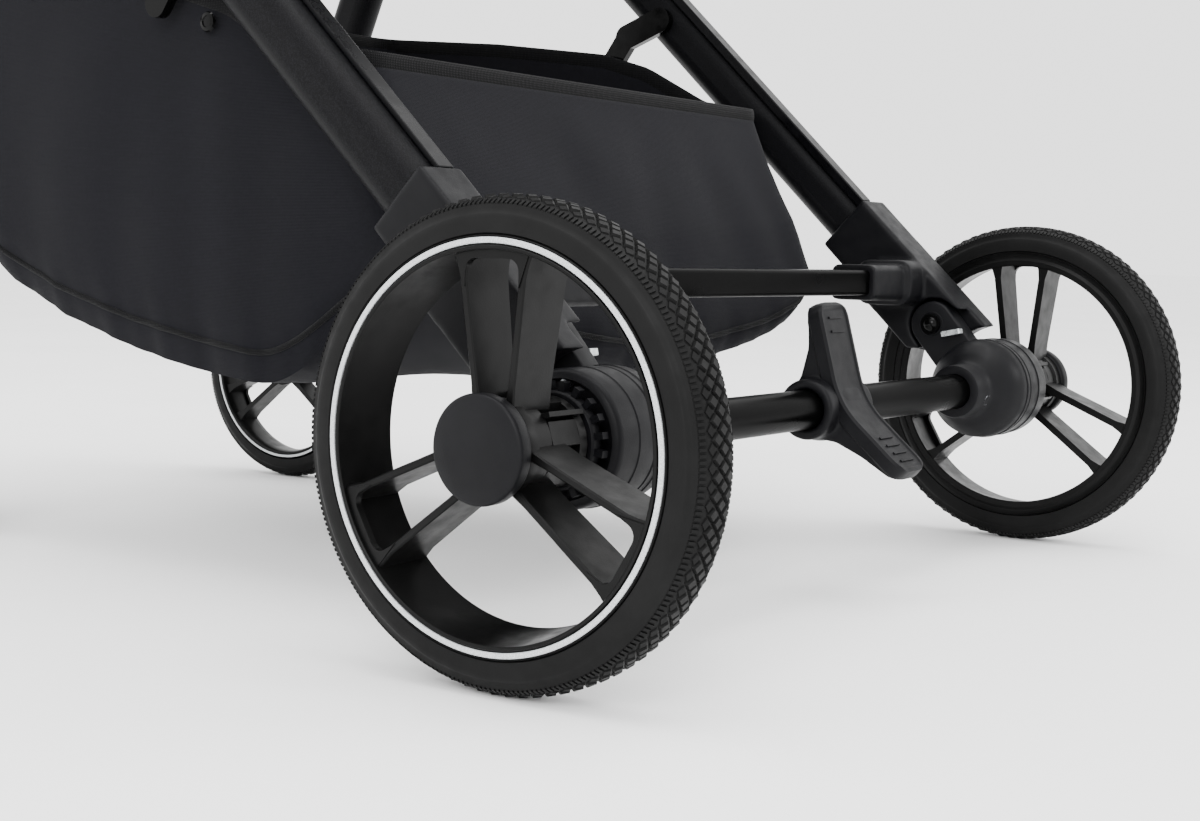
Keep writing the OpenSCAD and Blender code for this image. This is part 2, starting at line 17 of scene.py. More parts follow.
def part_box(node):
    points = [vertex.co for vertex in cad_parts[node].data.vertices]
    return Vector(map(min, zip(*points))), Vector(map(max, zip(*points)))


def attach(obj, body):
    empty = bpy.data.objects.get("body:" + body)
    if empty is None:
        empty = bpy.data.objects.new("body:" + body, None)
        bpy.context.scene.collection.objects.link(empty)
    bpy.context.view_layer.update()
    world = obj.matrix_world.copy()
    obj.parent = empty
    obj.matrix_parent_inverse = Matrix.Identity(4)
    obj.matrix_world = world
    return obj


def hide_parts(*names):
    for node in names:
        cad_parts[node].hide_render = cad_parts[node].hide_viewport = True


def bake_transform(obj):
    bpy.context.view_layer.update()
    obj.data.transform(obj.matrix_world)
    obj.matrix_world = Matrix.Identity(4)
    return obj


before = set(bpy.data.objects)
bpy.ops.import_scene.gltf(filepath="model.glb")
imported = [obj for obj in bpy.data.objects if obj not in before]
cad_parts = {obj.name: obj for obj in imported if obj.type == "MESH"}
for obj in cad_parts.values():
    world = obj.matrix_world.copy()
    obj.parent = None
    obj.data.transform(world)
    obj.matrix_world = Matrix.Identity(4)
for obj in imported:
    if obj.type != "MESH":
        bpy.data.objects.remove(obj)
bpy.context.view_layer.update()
MM = 0.001


def box_mm(node):
    """Lowest and highest corners of a node, in millimetres."""
    low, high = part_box(node)
    return low / MM, high / MM


def middle_mm(node):
    low, high = box_mm(node)
    return (low + high) / 2


rear_centre = middle_mm("rear_tyre_left")
front_centre = middle_mm("front_tyre_left")
AXLE_Y = rear_centre.y
GROUND_Z = box_mm("rear_tyre_left")[0].z
ORIGIN = Vector((0, AXLE_Y, GROUND_Z))
REAR_X = rear_centre.x
REAR_R = rear_centre.z - GROUND_Z
FRONT_X = front_centre.x
FRONT_R = front_centre.z - GROUND_Z
FRONT_Y = front_centre.y - AXLE_Y
print("rear axle at y", round(AXLE_Y, 1), "half track", round(REAR_X, 1), "wheel radius", round(REAR_R, 1))

# %% [markdown]
# ## Camera, floor and light
# A low camera behind the left rear wheel, a pale floor, a white surround and large
# soft lights that draw long highlights along the dark tubes.

# %% Camera and stage
CAMERA_AT = Vector((906.4, 471.2, 192.2))
CAMERA_FORWARD = Vector((-0.8199, -0.5658, -0.0875))
CAMERA_ROLL = math.radians(1.32)
LENS_MM = 54.4
SENSOR_MM = 36.0
WORLD_STRENGTH = 2.3


def srgb(code):
    """A hex colour as linear RGBA."""
    parts = [int(code[i:i + 2], 16) / 255 for i in (1, 3, 5)]
    linear = [p / 12.92 if p <= 0.04045 else ((p + 0.055) / 1.055) ** 2.4 for p in parts]
    return (*linear, 1.0)


def add_camera():
    data = bpy.data.cameras.new("camera")
    data.lens = LENS_MM
    data.sensor_width = SENSOR_MM
    data.clip_end = 100
    camera = bpy.data.objects.new("camera", data)
    turn = CAMERA_FORWARD.to_track_quat("-Z", "Y").to_matrix().to_4x4()
    turn = turn @ Matrix.Rotation(CAMERA_ROLL, 4, "Z")
    camera.matrix_world = Matrix.Translation((CAMERA_AT + ORIGIN) * MM) @ turn
    bpy.context.collection.objects.link(camera)
    bpy.context.scene.camera = camera


def add_light(name, place, target, size, power):
    """A square softbox at place, in metres, facing target."""
    data = bpy.data.lights.new(name, "AREA")
    data.energy = power
    data.size = size
    lamp = bpy.data.objects.new(name, data)
    aim = (Vector(target) - Vector(place)).to_track_quat("-Z", "Y")
    lamp.matrix_world = Matrix.Translation(place) @ aim.to_matrix().to_4x4()
    bpy.context.collection.objects.link(lamp)


def add_floor(half):
    bm = bmesh.new()
    bmesh.ops.create_grid(bm, x_segments=1, y_segments=1, size=half)
    mesh = bpy.data.meshes.new("floor")
    bm.to_mesh(mesh)
    bm.free()
    floor = bpy.data.objects.new("floor", mesh)
    bpy.context.collection.objects.link(floor)
    return floor


add_camera()
floor = add_floor(half=30)
add_light("light_top", (0.2, 0.3, 2.6), (0, 0.1, 0.3), size=2.0, power=70)
add_light("light_left_rear", (2.4, 1.2, 1.5), (0.1, 0.2, 0.2), size=1.2, power=55)
add_light("light_right_rear", (-1.4, 2.4, 1.3), (-0.1, 0.2, 0.2), size=1.0, power=24)
world = bpy.data.worlds.new("white_surround")
world.use_nodes = True
world.node_tree.nodes["Background"].inputs["Color"].default_value = (1, 1, 1, 1)
world.node_tree.nodes["Background"].inputs["Strength"].default_value = WORLD_STRENGTH
bpy.context.scene.world = world
print("camera, floor and three soft lights made")

# %% [markdown]
# ## Materials
# All patterns use object coordinates in metres, so a scale is one over a real size.
# Cloth uses its own map, in metres along the cloth.

# %% Node helpers


def new_material(name, colour, roughness, metallic=0.0):
    """A material with its shader's plain values set."""
    material = bpy.data.materials.new(name)
    material.use_nodes = True
    shader = material.node_tree.nodes["Principled BSDF"]
    shader.inputs["Base Color"].default_value = srgb(colour)
    shader.inputs["Roughness"].default_value = roughness
    shader.inputs["Metallic"].default_value = metallic
    shader.inputs["Specular IOR Level"].default_value = 0.5 if metallic else 0.1
    return material, shader


def add_node(material, kind, settings=None, **inputs):
    """Adds one node, with settings on the node and values or links on its inputs."""
    node = material.node_tree.nodes.new(kind)
    for key, value in (settings or {}).items():
        setattr(node, key, value)
    for key, value in inputs.items():
        socket = node.inputs[int(key[1:])] if key[0] == "i" and key[1:].isdigit() else node.inputs[key]
        if isinstance(value, bpy.types.NodeSocket):
            material.node_tree.links.new(value, socket)
        else:
            socket.default_value = value
    return node


def coordinates(material, output="Object"):
    return add_node(material, "ShaderNodeTexCoord").outputs[output]


def grain(material, place, size_mm, detail=3.0, roughness=0.55):
    """Noise whose blobs are about size_mm across."""
    node = add_node(material, "ShaderNodeTexNoise", Vector=place, Scale=1 / (size_mm * MM),
                    Detail=detail, Roughness=roughness)
    return node.outputs["Fac"]


def spread(material, factor, low, high, low_at=0.3, high_at=0.7):
    """Maps a factor from low_at..high_at to low..high."""
    settings = {"clamp": True}
    node = add_node(material, "ShaderNodeMapRange", settings, i0=factor, i1=low_at, i2=high_at,
                    i3=low, i4=high)
    return node.outputs["Result"]


def two_colours(material, factor, first, second):
    node = add_node(material, "ShaderNodeMix", {"data_type": "RGBA"}, i0=factor,
                    i6=srgb(first), i7=srgb(second))
    return node.outputs[2]


def link(material, output, shader, name):
    material.node_tree.links.new(output, shader.inputs[name])


def bumped(material, shader, height, depth_mm, strength=1.0):
    node = add_node(material, "ShaderNodeBump", Height=height, Distance=depth_mm * MM, Strength=strength)
    link(material, node.outputs["Normal"], shader, "Normal")


def summed(material, first, second, second_scale):
    node = add_node(material, "ShaderNodeMath", {"operation": "MULTIPLY_ADD"}, i0=second,
                    i1=second_scale, i2=first)
    return node.outputs[0]


def moulded_plastic(name, dark, light, rough, grain_mm, depth_mm, wear=0.08):
    """Moulded plastic: fine spark-eroded grain, faint flow marks and uneven gloss."""
    material, shader = new_material(name, dark, rough)
    place = coordinates(material)
    fine = grain(material, place, grain_mm, detail=2.0)
    broad = grain(material, place, 38.0, detail=2.0)
    shade = spread(material, broad, 0.0, 1.0)
    link(material, two_colours(material, shade, dark, light), shader, "Base Color")
    smear = grain(material, place, 9.0, detail=4.0)
    link(material, spread(material, smear, rough - wear, rough + wear), shader, "Roughness")
    bumped(material, shader, fine, depth_mm)
    return material


def painted_metal(name, dark, light, rough, flake_mm, depth_mm, specular):
    """Powder coat: a fine textured skin with flakes that catch the light."""
    material, shader = new_material(name, dark, rough)
    shader.inputs["Specular IOR Level"].default_value = specular
    place = coordinates(material)
    flake = grain(material, place, flake_mm, detail=1.0)
    link(material, two_colours(material, spread(material, flake, 0.0, 1.0, 0.42, 0.66), dark, light),
         shader, "Base Color")
    broad = grain(material, place, 60.0, detail=2.0)
    link(material, spread(material, broad, rough - 0.05, rough + 0.05), shader, "Roughness")
    bumped(material, shader, flake, depth_mm)
    return material


def woven_cloth(name, dark, light, thread_mm, sheen, depth_mm, rough=0.85):
    """Plain-weave polyester: crossing threads, slubs and a soft sheen."""
    material, shader = new_material(name, dark, rough)
    shader.inputs["Sheen Weight"].default_value = sheen
    shader.inputs["Sheen Roughness"].default_value = 0.45
    shader.inputs["Specular IOR Level"].default_value = 0.05
    place = coordinates(material, "UV")
    wave_scale = 2 * math.pi / (20 * thread_mm * MM)
    threads = []
    for direction in ("X", "Y"):
        settings = {"wave_type": "BANDS", "bands_direction": direction}
        wave = add_node(material, "ShaderNodeTexWave", settings, Vector=place, Scale=wave_scale,
                        Distortion=0.6)
        threads.append(wave.outputs["Fac"])
    weave = add_node(material, "ShaderNodeMath", {"operation": "MULTIPLY"}, i0=threads[0], i1=threads[1])
    slub = grain(material, place, 2.6, detail=4.0, roughness=0.7)
    broad = grain(material, place, 70.0, detail=3.0)
    shade = summed(material, spread(material, slub, 0.0, 0.6), broad, 0.4)
    link(material, two_colours(material, shade, dark, light), shader, "Base Color")
    bumped(material, shader, summed(material, weave.outputs[0], slub, 0.8), depth_mm)
    return material


def ribbed_webbing(name, dark, light, rib_mm):
    """Woven strap: ribs across it and a fine herringbone."""
    material, shader = new_material(name, dark, 0.7)
    shader.inputs["Sheen Weight"].default_value = 0.2
    place = coordinates(material, "UV")
    wave_scale = 2 * math.pi / (20 * rib_mm * MM)
    ribs = add_node(material, "ShaderNodeTexWave", {"bands_direction": "DIAGONAL"}, Vector=place,
                    Scale=wave_scale, Distortion=1.2)
    link(material, two_colours(material, ribs.outputs["Fac"], dark, light), shader, "Base Color")
    bumped(material, shader, ribs.outputs["Fac"], 0.25)
    return material


def leatherette(name, dark, light):
    """Grained imitation leather for the grips and the bumper bar."""
    material, shader = new_material(name, dark, 0.5)
    place = coordinates(material)
    cells = add_node(material, "ShaderNodeTexVoronoi", {"feature": "DISTANCE_TO_EDGE"}, Vector=place,
                     Scale=1 / (1.7 * MM))
    creases = spread(material, cells.outputs["Distance"], 0.0, 1.0, 0.0, 0.25)
    link(material, two_colours(material, creases, dark, light), shader, "Base Color")
    link(material, spread(material, grain(material, place, 12.0), 0.42, 0.6), shader, "Roughness")
    bumped(material, shader, creases, 0.2)
    return material


def reflective_tape(name):
    """Retroreflective print: pale grey glass beads in a clear binder."""
    material, shader = new_material(name, "#c9cbcc", 0.42, 0.1)
    place = coordinates(material)
    beads = add_node(material, "ShaderNodeTexVoronoi", {"feature": "F1"}, Vector=place,
                     Scale=1 / (0.55 * MM))
    shade = spread(material, beads.outputs["Distance"], 0.0, 1.0, 0.1, 0.6)
    link(material, two_colours(material, shade, "#dcdedf", "#aeb1b3"), shader, "Base Color")
    bumped(material, shader, beads.outputs["Distance"], 0.08)
    return material


def plated_steel(name, dark, light, rough):
    material, shader = new_material(name, light, rough, 1.0)
    place = coordinates(material)
    clouds = grain(material, place, 4.0, detail=4.0)
    shade = spread(material, clouds, 0.0, 1.0)
    link(material, two_colours(material, shade, dark, light), shader, "Base Color")
    link(material, spread(material, clouds, rough - 0.08, rough + 0.1), shader, "Roughness")
    bumped(material, shader, clouds, 0.03)
    return material


# %% The materials
rubber_tyre = moulded_plastic("tyre_rubber", "#090909", "#0f0f0f", 0.55, 0.9, 0.05)
rim_plastic = moulded_plastic("rim_plastic", "#060606", "#0b0b0b", 0.38, 0.8, 0.035)
case_plastic = moulded_plastic("grained_black_plastic", "#08080a", "#0e0e10", 0.46, 0.7, 0.06)
gloss_plastic = moulded_plastic("gloss_black_plastic", "#020202", "#050505", 0.14, 1.5, 0.01, wear=0.05)
tube_paint = painted_metal("satin_black_paint", "#010101", "#030303", 0.3, 0.9, 0.01, 0.02)
frame_paint = painted_metal("charcoal_powder_coat", "#070708", "#151517", 0.42, 0.55, 0.05, 0.06)
rail_plastic = moulded_plastic("smooth_black_strip", "#040405", "#08080a", 0.3, 1.4, 0.015)
steel = plated_steel("zinc_plated_steel", "#9ea2a3", "#d4d8d9", 0.3)
dark_steel = plated_steel("blackened_steel", "#3a3b3d", "#5a5b5d", 0.38)
soft_rubber = moulded_plastic("soft_rubber", "#080808", "#0d0d0d", 0.7, 1.2, 0.06)
reflector = reflective_tape("reflective_ring")
basket_cloth = woven_cloth("basket_polyester", "#0d0d10", "#131317", 0.75, 0.04, 0.12)
seat_cloth = woven_cloth("seat_polyester", "#101013", "#1b1b1f", 0.9, 0.1, 0.2)
hood_cloth = woven_cloth("canopy_polyester", "#0d0d10", "#16161a", 0.8, 0.08, 0.16)
binding = woven_cloth("binding_tape", "#060607", "#0d0d0e", 1.3, 0.05, 0.25, rough=0.7)
webbing = ribbed_webbing("harness_webbing", "#060607", "#121214", 1.6)
grip_leather = leatherette("grip_leatherette", "#070606", "#100e0d")
red_plastic = moulded_plastic("red_button_plastic", "#8e1612", "#a51d17", 0.35, 1.0, 0.02)
studio_floor, floor_shader = new_material("studio_floor", "#fafafa", 0.7)
floor_tone = spread(studio_floor, grain(studio_floor, coordinates(studio_floor), 400.0), 0.0, 1.0)
link(studio_floor, two_colours(studio_floor, floor_tone, "#f8f8f8", "#fcfcfc"), floor_shader, "Base Color")
floor.data.materials.append(studio_floor)
print(len(bpy.data.materials), "materials made")

# %% [markdown]
# ## Mesh helpers
# Shapes are collected in a bmesh in millimetres and turned into an object at the end.

# %% Helpers


def new_piece(name, bm, material, body, replaces=(), centre=None, mirrored=False, angle=35):
    """Turns a bmesh in millimetres into a piece that rides on a body."""
    move = Matrix.Translation(ORIGIN + (centre or Vector()))
    if mirrored:
        move = Matrix.Diagonal((-1, 1, 1, 1)) @ move
    bm.transform(Matrix.Scale(MM, 4) @ move)
    bmesh.ops.recalc_face_normals(bm, faces=bm.faces[:])
    mesh = bpy.data.meshes.new(name)
    bm.to_mesh(mesh)
    bm.free()
    mesh.shade_smooth()
    mesh.set_sharp_from_angle(angle=math.radians(angle))
    mesh.materials.append(material)
    piece = bpy.data.objects.new(name, mesh)
    bpy.context.collection.objects.link(piece)
    if body:
        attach(piece, body)
    if replaces:
        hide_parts(*replaces)
    return piece


def both_sides(name, build, material, body, replaces=(), centre=None, angle=35):
    """Builds the left piece and its mirror image; {} in a name stands for the side."""
    for side in ("left", "right"):
        nodes = [node.format(side) for node in replaces]
        new_piece(name + "_" + side, build(), material, body.format(side), nodes,
                  centre, side == "right", angle)


def add_loft(bm, loops, closed_loop=True, closed_path=False, caps=True):
    """Joins rows of points with faces; the ends are capped unless the path closes."""
    rows = [[bm.verts.new(p) for p in loop] for loop in loops]
    count = len(rows[0])
    last = len(rows) if closed_path else len(rows) - 1
    for i in range(last):
        first, second = rows[i], rows[(i + 1) % len(rows)]
        for j in range(count if closed_loop else count - 1):
            k = (j + 1) % count
            bm.faces.new((first[j], first[k], second[k], second[j]))
    if caps and closed_loop and not closed_path:
        bm.faces.new(rows[0][::-1])
        bm.faces.new(rows[-1])
    return rows


def add_turned(bm, profile, segments=96, centre=(0, 0, 0)):
    """Revolves a closed outline of (radius, x) about the X axis."""
    loops = []
    for i in range(segments):
        turn = 2 * math.pi * i / segments
        c, s = math.cos(turn), math.sin(turn)
        loops.append([Vector((x + centre[0], r * c + centre[1], r * s + centre[2])) for r, x in profile])
    add_loft(bm, loops, closed_path=True)


def add_box(bm, size, place, turn=None):
    """A box of a size with its middle at place, turned by a matrix."""
    move = Matrix.Translation(place) @ (turn or Matrix.Identity(4)) @ Matrix.Diagonal((*size, 1))
    return bmesh.ops.create_cube(bm, size=1, matrix=move)["verts"]


def bevel_sharp(bm, width, segments=2, limit=40):
    """Rounds every edge sharper than the limit."""
    bmesh.ops.recalc_face_normals(bm, faces=bm.faces[:])
    edges = [e for e in bm.edges if len(e.link_faces) == 2 and e.calc_face_angle() > math.radians(limit)]
    bmesh.ops.bevel(bm, geom=edges, offset=width, offset_type="OFFSET", segments=segments,
                    affect="EDGES", profile=0.5, material=-1, clamp_overlap=True)


def add_prism(bm, outline, x0, x1):
    """Extrudes a side-plane outline of (y, z) between two values of x."""
    lower = [bm.verts.new((x0, y, z)) for y, z in outline]
    upper = [bm.verts.new((x1, y, z)) for y, z in outline]
    count = len(outline)
    bm.faces.new(lower[::-1])
    bm.faces.new(upper)
    for i in range(count):
        k = (i + 1) % count
        bm.faces.new((lower[i], lower[k], upper[k], upper[i]))


def ring_of(radius, count, start=0.0, sweep=360.0):
    """Points of (a, b) on an arc, in degrees."""
    steps = count if sweep >= 360 else count - 1
    angles = [math.radians(start + sweep * i / steps) for i in range(count)]
    return [(radius * math.cos(a), radius * math.sin(a)) for a in angles]


def add_tube(bm, points, section, closed=False, up=Vector((1, 0, 0))):
    """Sweeps a section of (a, b) along points; b stays near the up direction."""
    points = [Vector(p) for p in points]
    count = len(points)
    loops = []
    for i, point in enumerate(points):
        if closed:
            along = points[(i + 1) % count] - points[i - 1]
        else:
            along = points[min(i + 1, count - 1)] - points[max(i - 1, 0)]
        along.normalize()
        side = along.cross(up).normalized()
        over = side.cross(along)
        loops.append([point + side * a + over * b for a, b in section])
    add_loft(bm, loops, closed_path=closed)


def smoothstep(t):
    t = max(0.0, min(1.0, t))
    return t * t * (3 - 2 * t)


def between(points, t):
    """A point along a polyline of (key, value) pairs, by key."""
    for (a, first), (b, second) in zip(points, points[1:]):
        if t <= b:
            return first + (second - first) * max(0.0, (t - a) / (b - a))
    return points[-1][1]


# %% [markdown]
# ## Wheels
# Each tyre has a smooth sidewall, a band of small transverse ribs on each shoulder and
# a diamond-block tread. Rims have three pairs of deep blade spokes, joined by a plate
# at the rim so that each pair frames a window.

# %% Tyres
SIDEWALL = [(-17.6, -0.9), (-17.0, -0.1), (-14.5, 0.0), (-11.5, -0.1), (-9.6, -0.45), (-8.7, -0.95),
            (-8.0, -1.9), (-6.6, -2.4), (-5.0, -2.9)]
CROWN = [(-4.0, -4.6), (-3.0, -6.0), (-2.3, -7.6), (-1.7, -11.5), (-1.5, -15.5)]


def tyre_half(outer_r, half_w, scale):
    """The outboard half of a tyre's section as (radius, x)."""
    side = [(outer_r + r * scale, half_w + x * scale) for r, x in SIDEWALL]
    crown = [(outer_r + r * scale, max(0.0, half_w + x * half_w / 15.5)) for r, x in CROWN]
    return side + crown


def add_block(bm, turn, x, radius, reach_a, reach_x, height, lean, taper=0.72):
    """A four-sided block on the tread at an angle; its points lie along and across the tyre."""
    c, s = math.cos(turn), math.sin(turn)
    out = Vector((math.sin(lean), c * math.cos(lean), s * math.cos(lean)))
    along = Vector((0, -s, c))
    across = along.cross(out)
    foot = Vector((x, radius * c, radius * s))
    corners = [along * reach_a, across * reach_x, -along * reach_a, -across * reach_x]
    low = [bm.verts.new(foot - out * 0.4 + p) for p in corners]
    high = [bm.verts.new(foot + out * height + p * taper) for p in corners]
    bm.faces.new(high)
    bm.faces.new(low[::-1])
    for i in range(4):
        k = (i + 1) % 4
        bm.faces.new((low[i], low[k], high[k], high[i]))


def add_rib(bm, turn, first, second, width, height):
    """A small rib on the shoulder from one (radius, x) point to another."""
    c, s = math.cos(turn), math.sin(turn)
    along = Vector((0, -s, c)) * (width / 2)
    a = Vector((first[1], first[0] * c, first[0] * s))
    b = Vector((second[1], second[0] * c, second[0] * s))
    slope = (b - a).normalized()
    out = slope.cross(along).normalized()
    if out.x * first[1] < 0:
        out = -out
    low = [a - along, a + along, b + along, b - along]
    high = [p + out * height + (slope if i < 2 else -slope) * 0.3 for i, p in enumerate(low)]
    low = [bm.verts.new(p - out * 0.4) for p in low]
    high = [bm.verts.new(p) for p in high]
    bm.faces.new(high)
    bm.faces.new(low[::-1])
    for i in range(4):
        k = (i + 1) % 4
        bm.faces.new((low[i], low[k], high[k], high[i]))


def build_tyre(outer_r, tyre_w, scale, pitch, column):
    """A tyre about the X axis: carcass, shoulder ribs and tread blocks."""
    bm = bmesh.new()
    half = tyre_half(outer_r, tyre_w / 2, scale)
    profile = half + [(r, -x) for r, x in reversed(half) if x > 0.01]
    add_turned(bm, profile, segments=180)
    around = round(2 * math.pi * outer_r / pitch)
    step = 2 * math.pi / around
    rows = [-2, -1, 0, 1, 2]
    for row in rows:
        x = row * column - math.copysign(1.2, row) * (abs(row) == 2)
        sunk = between([(0.0, 1.5), (4.5, 1.65), (7.6, 2.5), (9.5, 3.3)], abs(x))
        lean = math.atan2(x, 46.0) if abs(row) < 2 else math.copysign(math.radians(24), x)
        for i in range(around):
            turn = (i + (0.5 if row % 2 else 0.0)) * step
            height = 1.35 if abs(row) < 2 else 0.95
            reach_x = column * 0.86 if abs(row) < 2 else column * 0.55
            add_block(bm, turn, x, outer_r - sunk, pitch * 0.44, reach_x, height, lean)
    ribs = round(2 * math.pi * outer_r / 2.6)
    inner, outer = half[8], half[10]
    for i in range(ribs):
        turn = 2 * math.pi * i / ribs
        add_rib(bm, turn, inner, outer, 1.4, 0.75)
        add_rib(bm, turn, (inner[0], -inner[1]), (outer[0], -outer[1]), 1.4, 0.75)
    return bm


REAR_TYRE_W = box_mm("rear_tyre_left")[1].x - box_mm("rear_tyre_left")[0].x
FRONT_TYRE_W = box_mm("front_tyre_left")[1].x - box_mm("front_tyre_left")[0].x
REAR_WHEEL = Vector((REAR_X, 0, REAR_R))
FRONT_WHEEL = Vector((FRONT_X, FRONT_Y, FRONT_R))


def rear_tyre():
    return build_tyre(REAR_R, REAR_TYRE_W, 1.0, 7.6, 4.2)


def front_tyre():
    return build_tyre(FRONT_R, FRONT_TYRE_W, 0.85, 7.6, 3.2)


both_sides("rear_tyre_detail", rear_tyre, rubber_tyre, "rear_wheel_{}", ("rear_tyre_{}",), REAR_WHEEL)
both_sides("front_tyre_detail", front_tyre, rubber_tyre, "front_wheel_{}", ("front_tyre_{}",),
           FRONT_WHEEL)

# %% Rims


def add_spoke(bm, turn, side, hub, rim, front, back, thick):
    """A deep blade from the hub to the rim; hub and rim are (radius, sideways) points."""
    c, s = math.cos(turn), math.sin(turn)
    loops = []
    steps = 12
    for i in range(steps + 1):
        t = i / steps
        radius = hub[0] + (rim[0] - hub[0]) * t
        shift = side * (hub[1] + (rim[1] - hub[1]) * t)
        flare = 1.0 + 1.3 * smoothstep((t - 0.80) / 0.20) ** 2 + 0.35 * smoothstep((0.2 - t) / 0.2)
        half = thick / 2 * flare
        x_front = front[0] + (front[1] - front[0]) * smoothstep(t)
        x_back = back[0] + (back[1] - back[0]) * t
        edge = 0.7
        section = [(x_front - edge, half), (x_front, half - edge), (x_front, edge - half),
                   (x_front - edge, -half), (x_back, -half * 1.25), (x_back, half * 1.25)]
        loop = []
        for x, q in section:
            q += shift
            loop.append(Vector((x, radius * c - q * s, radius * s + q * c)))
        loops.append(loop)
    add_loft(bm, loops)


def add_window_plate(bm, turn, rim_r, reach, depth, x0, x1, corner):
    """The plate at the rim between the two blades of a pair, with rounded window corners."""
    outer = [(math.sqrt(rim_r ** 2 - q ** 2), q) for q in [reach * (k / 6 - 1) for k in range(13)]]
    side = reach - 5.2
    level = rim_r - depth
    inner = []
    for a, b in ring_of(corner, 6, 0, 90):
        inner.append((level - corner + b, side - corner + a))
    fillet = [(r, q) for r, q in inner]
    low = [(level - 2.2 * corner, side)] + fillet
    outline = outer + low + [(r, -q) for r, q in reversed(low)]
    c, s = math.cos(turn), math.sin(turn)
    add_prism(bm, [(r * c - q * s, r * s + q * c) for r, q in outline], x0, x1)


SPOKE_TURNS = [math.radians(a) for a in (90, 210, 330)]


def rear_rim():
    """Barrel, blades, window plates and hub of a rear wheel, with blocks round the hub."""
    bm = bmesh.new()
    barrel = [(90.4, 14.6), (90.3, 15.6), (89.9, 16.1), (89.7, 16.1), (89.6, 15.4), (86.0, 15.4),
              (85.9, 16.3), (85.6, 16.6), (84.6, 16.6), (84.1, 16.1), (83.7, 12.0), (82.6, 0.0),
              (81.2, -13.5), (80.8, -15.2), (81.4, -16.0), (84.5, -16.2), (86.5, -14.8), (88.6, -15.0),
              (90.0, -15.9), (90.4, -15.2)]
    add_turned(bm, barrel, segments=160)
    for turn in SPOKE_TURNS:
        for side in (-1, 1):
            add_spoke(bm, turn, side, (16.0, 8.6), (83.4, 17.2), (12.5, 14.2), (-12.5, -15.0), 3.6)
        add_window_plate(bm, turn, 84.6, 19.5, 4.4, 11.0, 14.6, 5.5)
    hub = [(7.0, 14.0), (21.0, 14.0), (21.5, 13.0), (21.5, 7.0), (20.0, 6.0), (20.0, -4.0), (19.4, -4.6),
           (16.5, -4.8), (16.5, -24.0), (20.0, -24.3), (20.4, -29.2), (7.0, -29.4)]
    add_turned(bm, hub, segments=72)
    for i in range(6):
        turn = Matrix.Rotation(math.radians(60 * i + 18), 4, "X")
        add_box(bm, (20.0, 4.2, 11.0), turn @ Vector((-14.4, 17.7, 0)), turn)
        add_box(bm, (25.0, 7.0, 2.2), turn @ Vector((-16.0, 18.5, 8.4)), turn)
    return bm


def brake_ring():
    """The toothed ring inside the hub that the brake pin drops into."""
    bm = bmesh.new()
    ring = [(9.0, -31.0), (21.4, -31.0), (22.2, -31.6), (22.5, -32.4), (22.5, -36.4), (9.0, -36.5)]
    add_turned(bm, ring, segments=72)
    teeth = 20
    for i in range(teeth):
        turn = Matrix.Rotation((i + 0.5) * 2 * math.pi / teeth, 4, "X")
        add_box(bm, (4.4, 4.8, 3.1), turn @ Vector((-34.2, 24.4, 0)), turn)
    return bm


def rear_ring():
    bm = bmesh.new()
    add_turned(bm, [(86.7, 15.3), (86.7, 16.1), (87.0, 16.35), (88.9, 16.35), (89.2, 16.1), (89.2, 15.3)],
               segments=160)
    return bm


def rear_cap():
    """The flat hub cap: a shallow dome with a soft edge and a shadow gap behind it."""
    bm = bmesh.new()
    profile = [(0.02, 14.3), (21.5, 14.3), (22.6, 14.6), (23.4, 15.4), (23.9, 16.6), (24.0, 21.2),
               (23.8, 22.3), (23.2, 23.0), (22.2, 23.4), (15.0, 23.8), (7.0, 24.0), (0.02, 24.0)]
    add_turned(bm, profile, segments=96)
    return bm


def front_rim():
    bm = bmesh.new()
    outer = FRONT_R - 15.0
    barrel = [(0.0, 10.0), (0.0, 11.3), (-0.4, 12.2), (-4.4, 12.2), (-5.2, 11.4), (-6.4, 6.0), (-7.0, -6.0),
              (-5.8, -11.4), (-5.0, -12.2), (-1.2, -12.2), (-0.7, -11.4), (0.0, -10.0)]
    add_turned(bm, [(outer + r, x) for r, x in barrel], segments=140)
    for turn in SPOKE_TURNS:
        for side in (-1, 1):
            add_spoke(bm, turn, side, (12.0, 6.0), (outer - 6.0, 13.5), (8.5, 10.0), (-8.5, -10.0), 3.2)
        add_window_plate(bm, turn, outer - 4.5, 15.5, 3.6, 8.2, 10.8, 4.0)
    hub = [(4.5, 14.0), (14.6, 14.0), (15.8, 13.0), (16.0, 10.5), (14.0, 9.5), (14.0, -9.5), (16.0, -10.5),
           (15.8, -13.0), (14.6, -14.0), (4.5, -14.0)]
    add_turned(bm, hub, segments=64)
    return bm


def front_rings():
    """Narrow grey rings printed on both faces of a front rim."""
    bm = bmesh.new()
    outer = FRONT_R - 15.0
    for s in (-1, 1):
        add_turned(bm, [(outer - 3.2, 12.0 * s), (outer - 3.2, 12.5 * s), (outer - 1.4, 12.5 * s),
                        (outer - 1.4, 12.0 * s)], segments=140)
    return bm


both_sides("rear_rim_detail", rear_rim, rim_plastic, "rear_wheel_{}", ("rear_rim_{}",),
           REAR_WHEEL)
both_sides("brake_ring", brake_ring, case_plastic, "rear_wheel_{}", (), REAR_WHEEL)
both_sides("rear_ring_detail", rear_ring, reflector, "rear_wheel_{}", ("rear_ring_{}",),
           REAR_WHEEL)
both_sides("rear_cap_detail", rear_cap, case_plastic, "rear_wheel_{}",
           ("rear_hub_cap_{}",), REAR_WHEEL)
both_sides("front_rim_detail", front_rim, rim_plastic, "front_wheel_{}",
           ("front_rim_{}",), FRONT_WHEEL)
both_sides("front_ring_detail", front_rings, reflector, "front_wheel_{}", (), FRONT_WHEEL)
print("four wheels made")

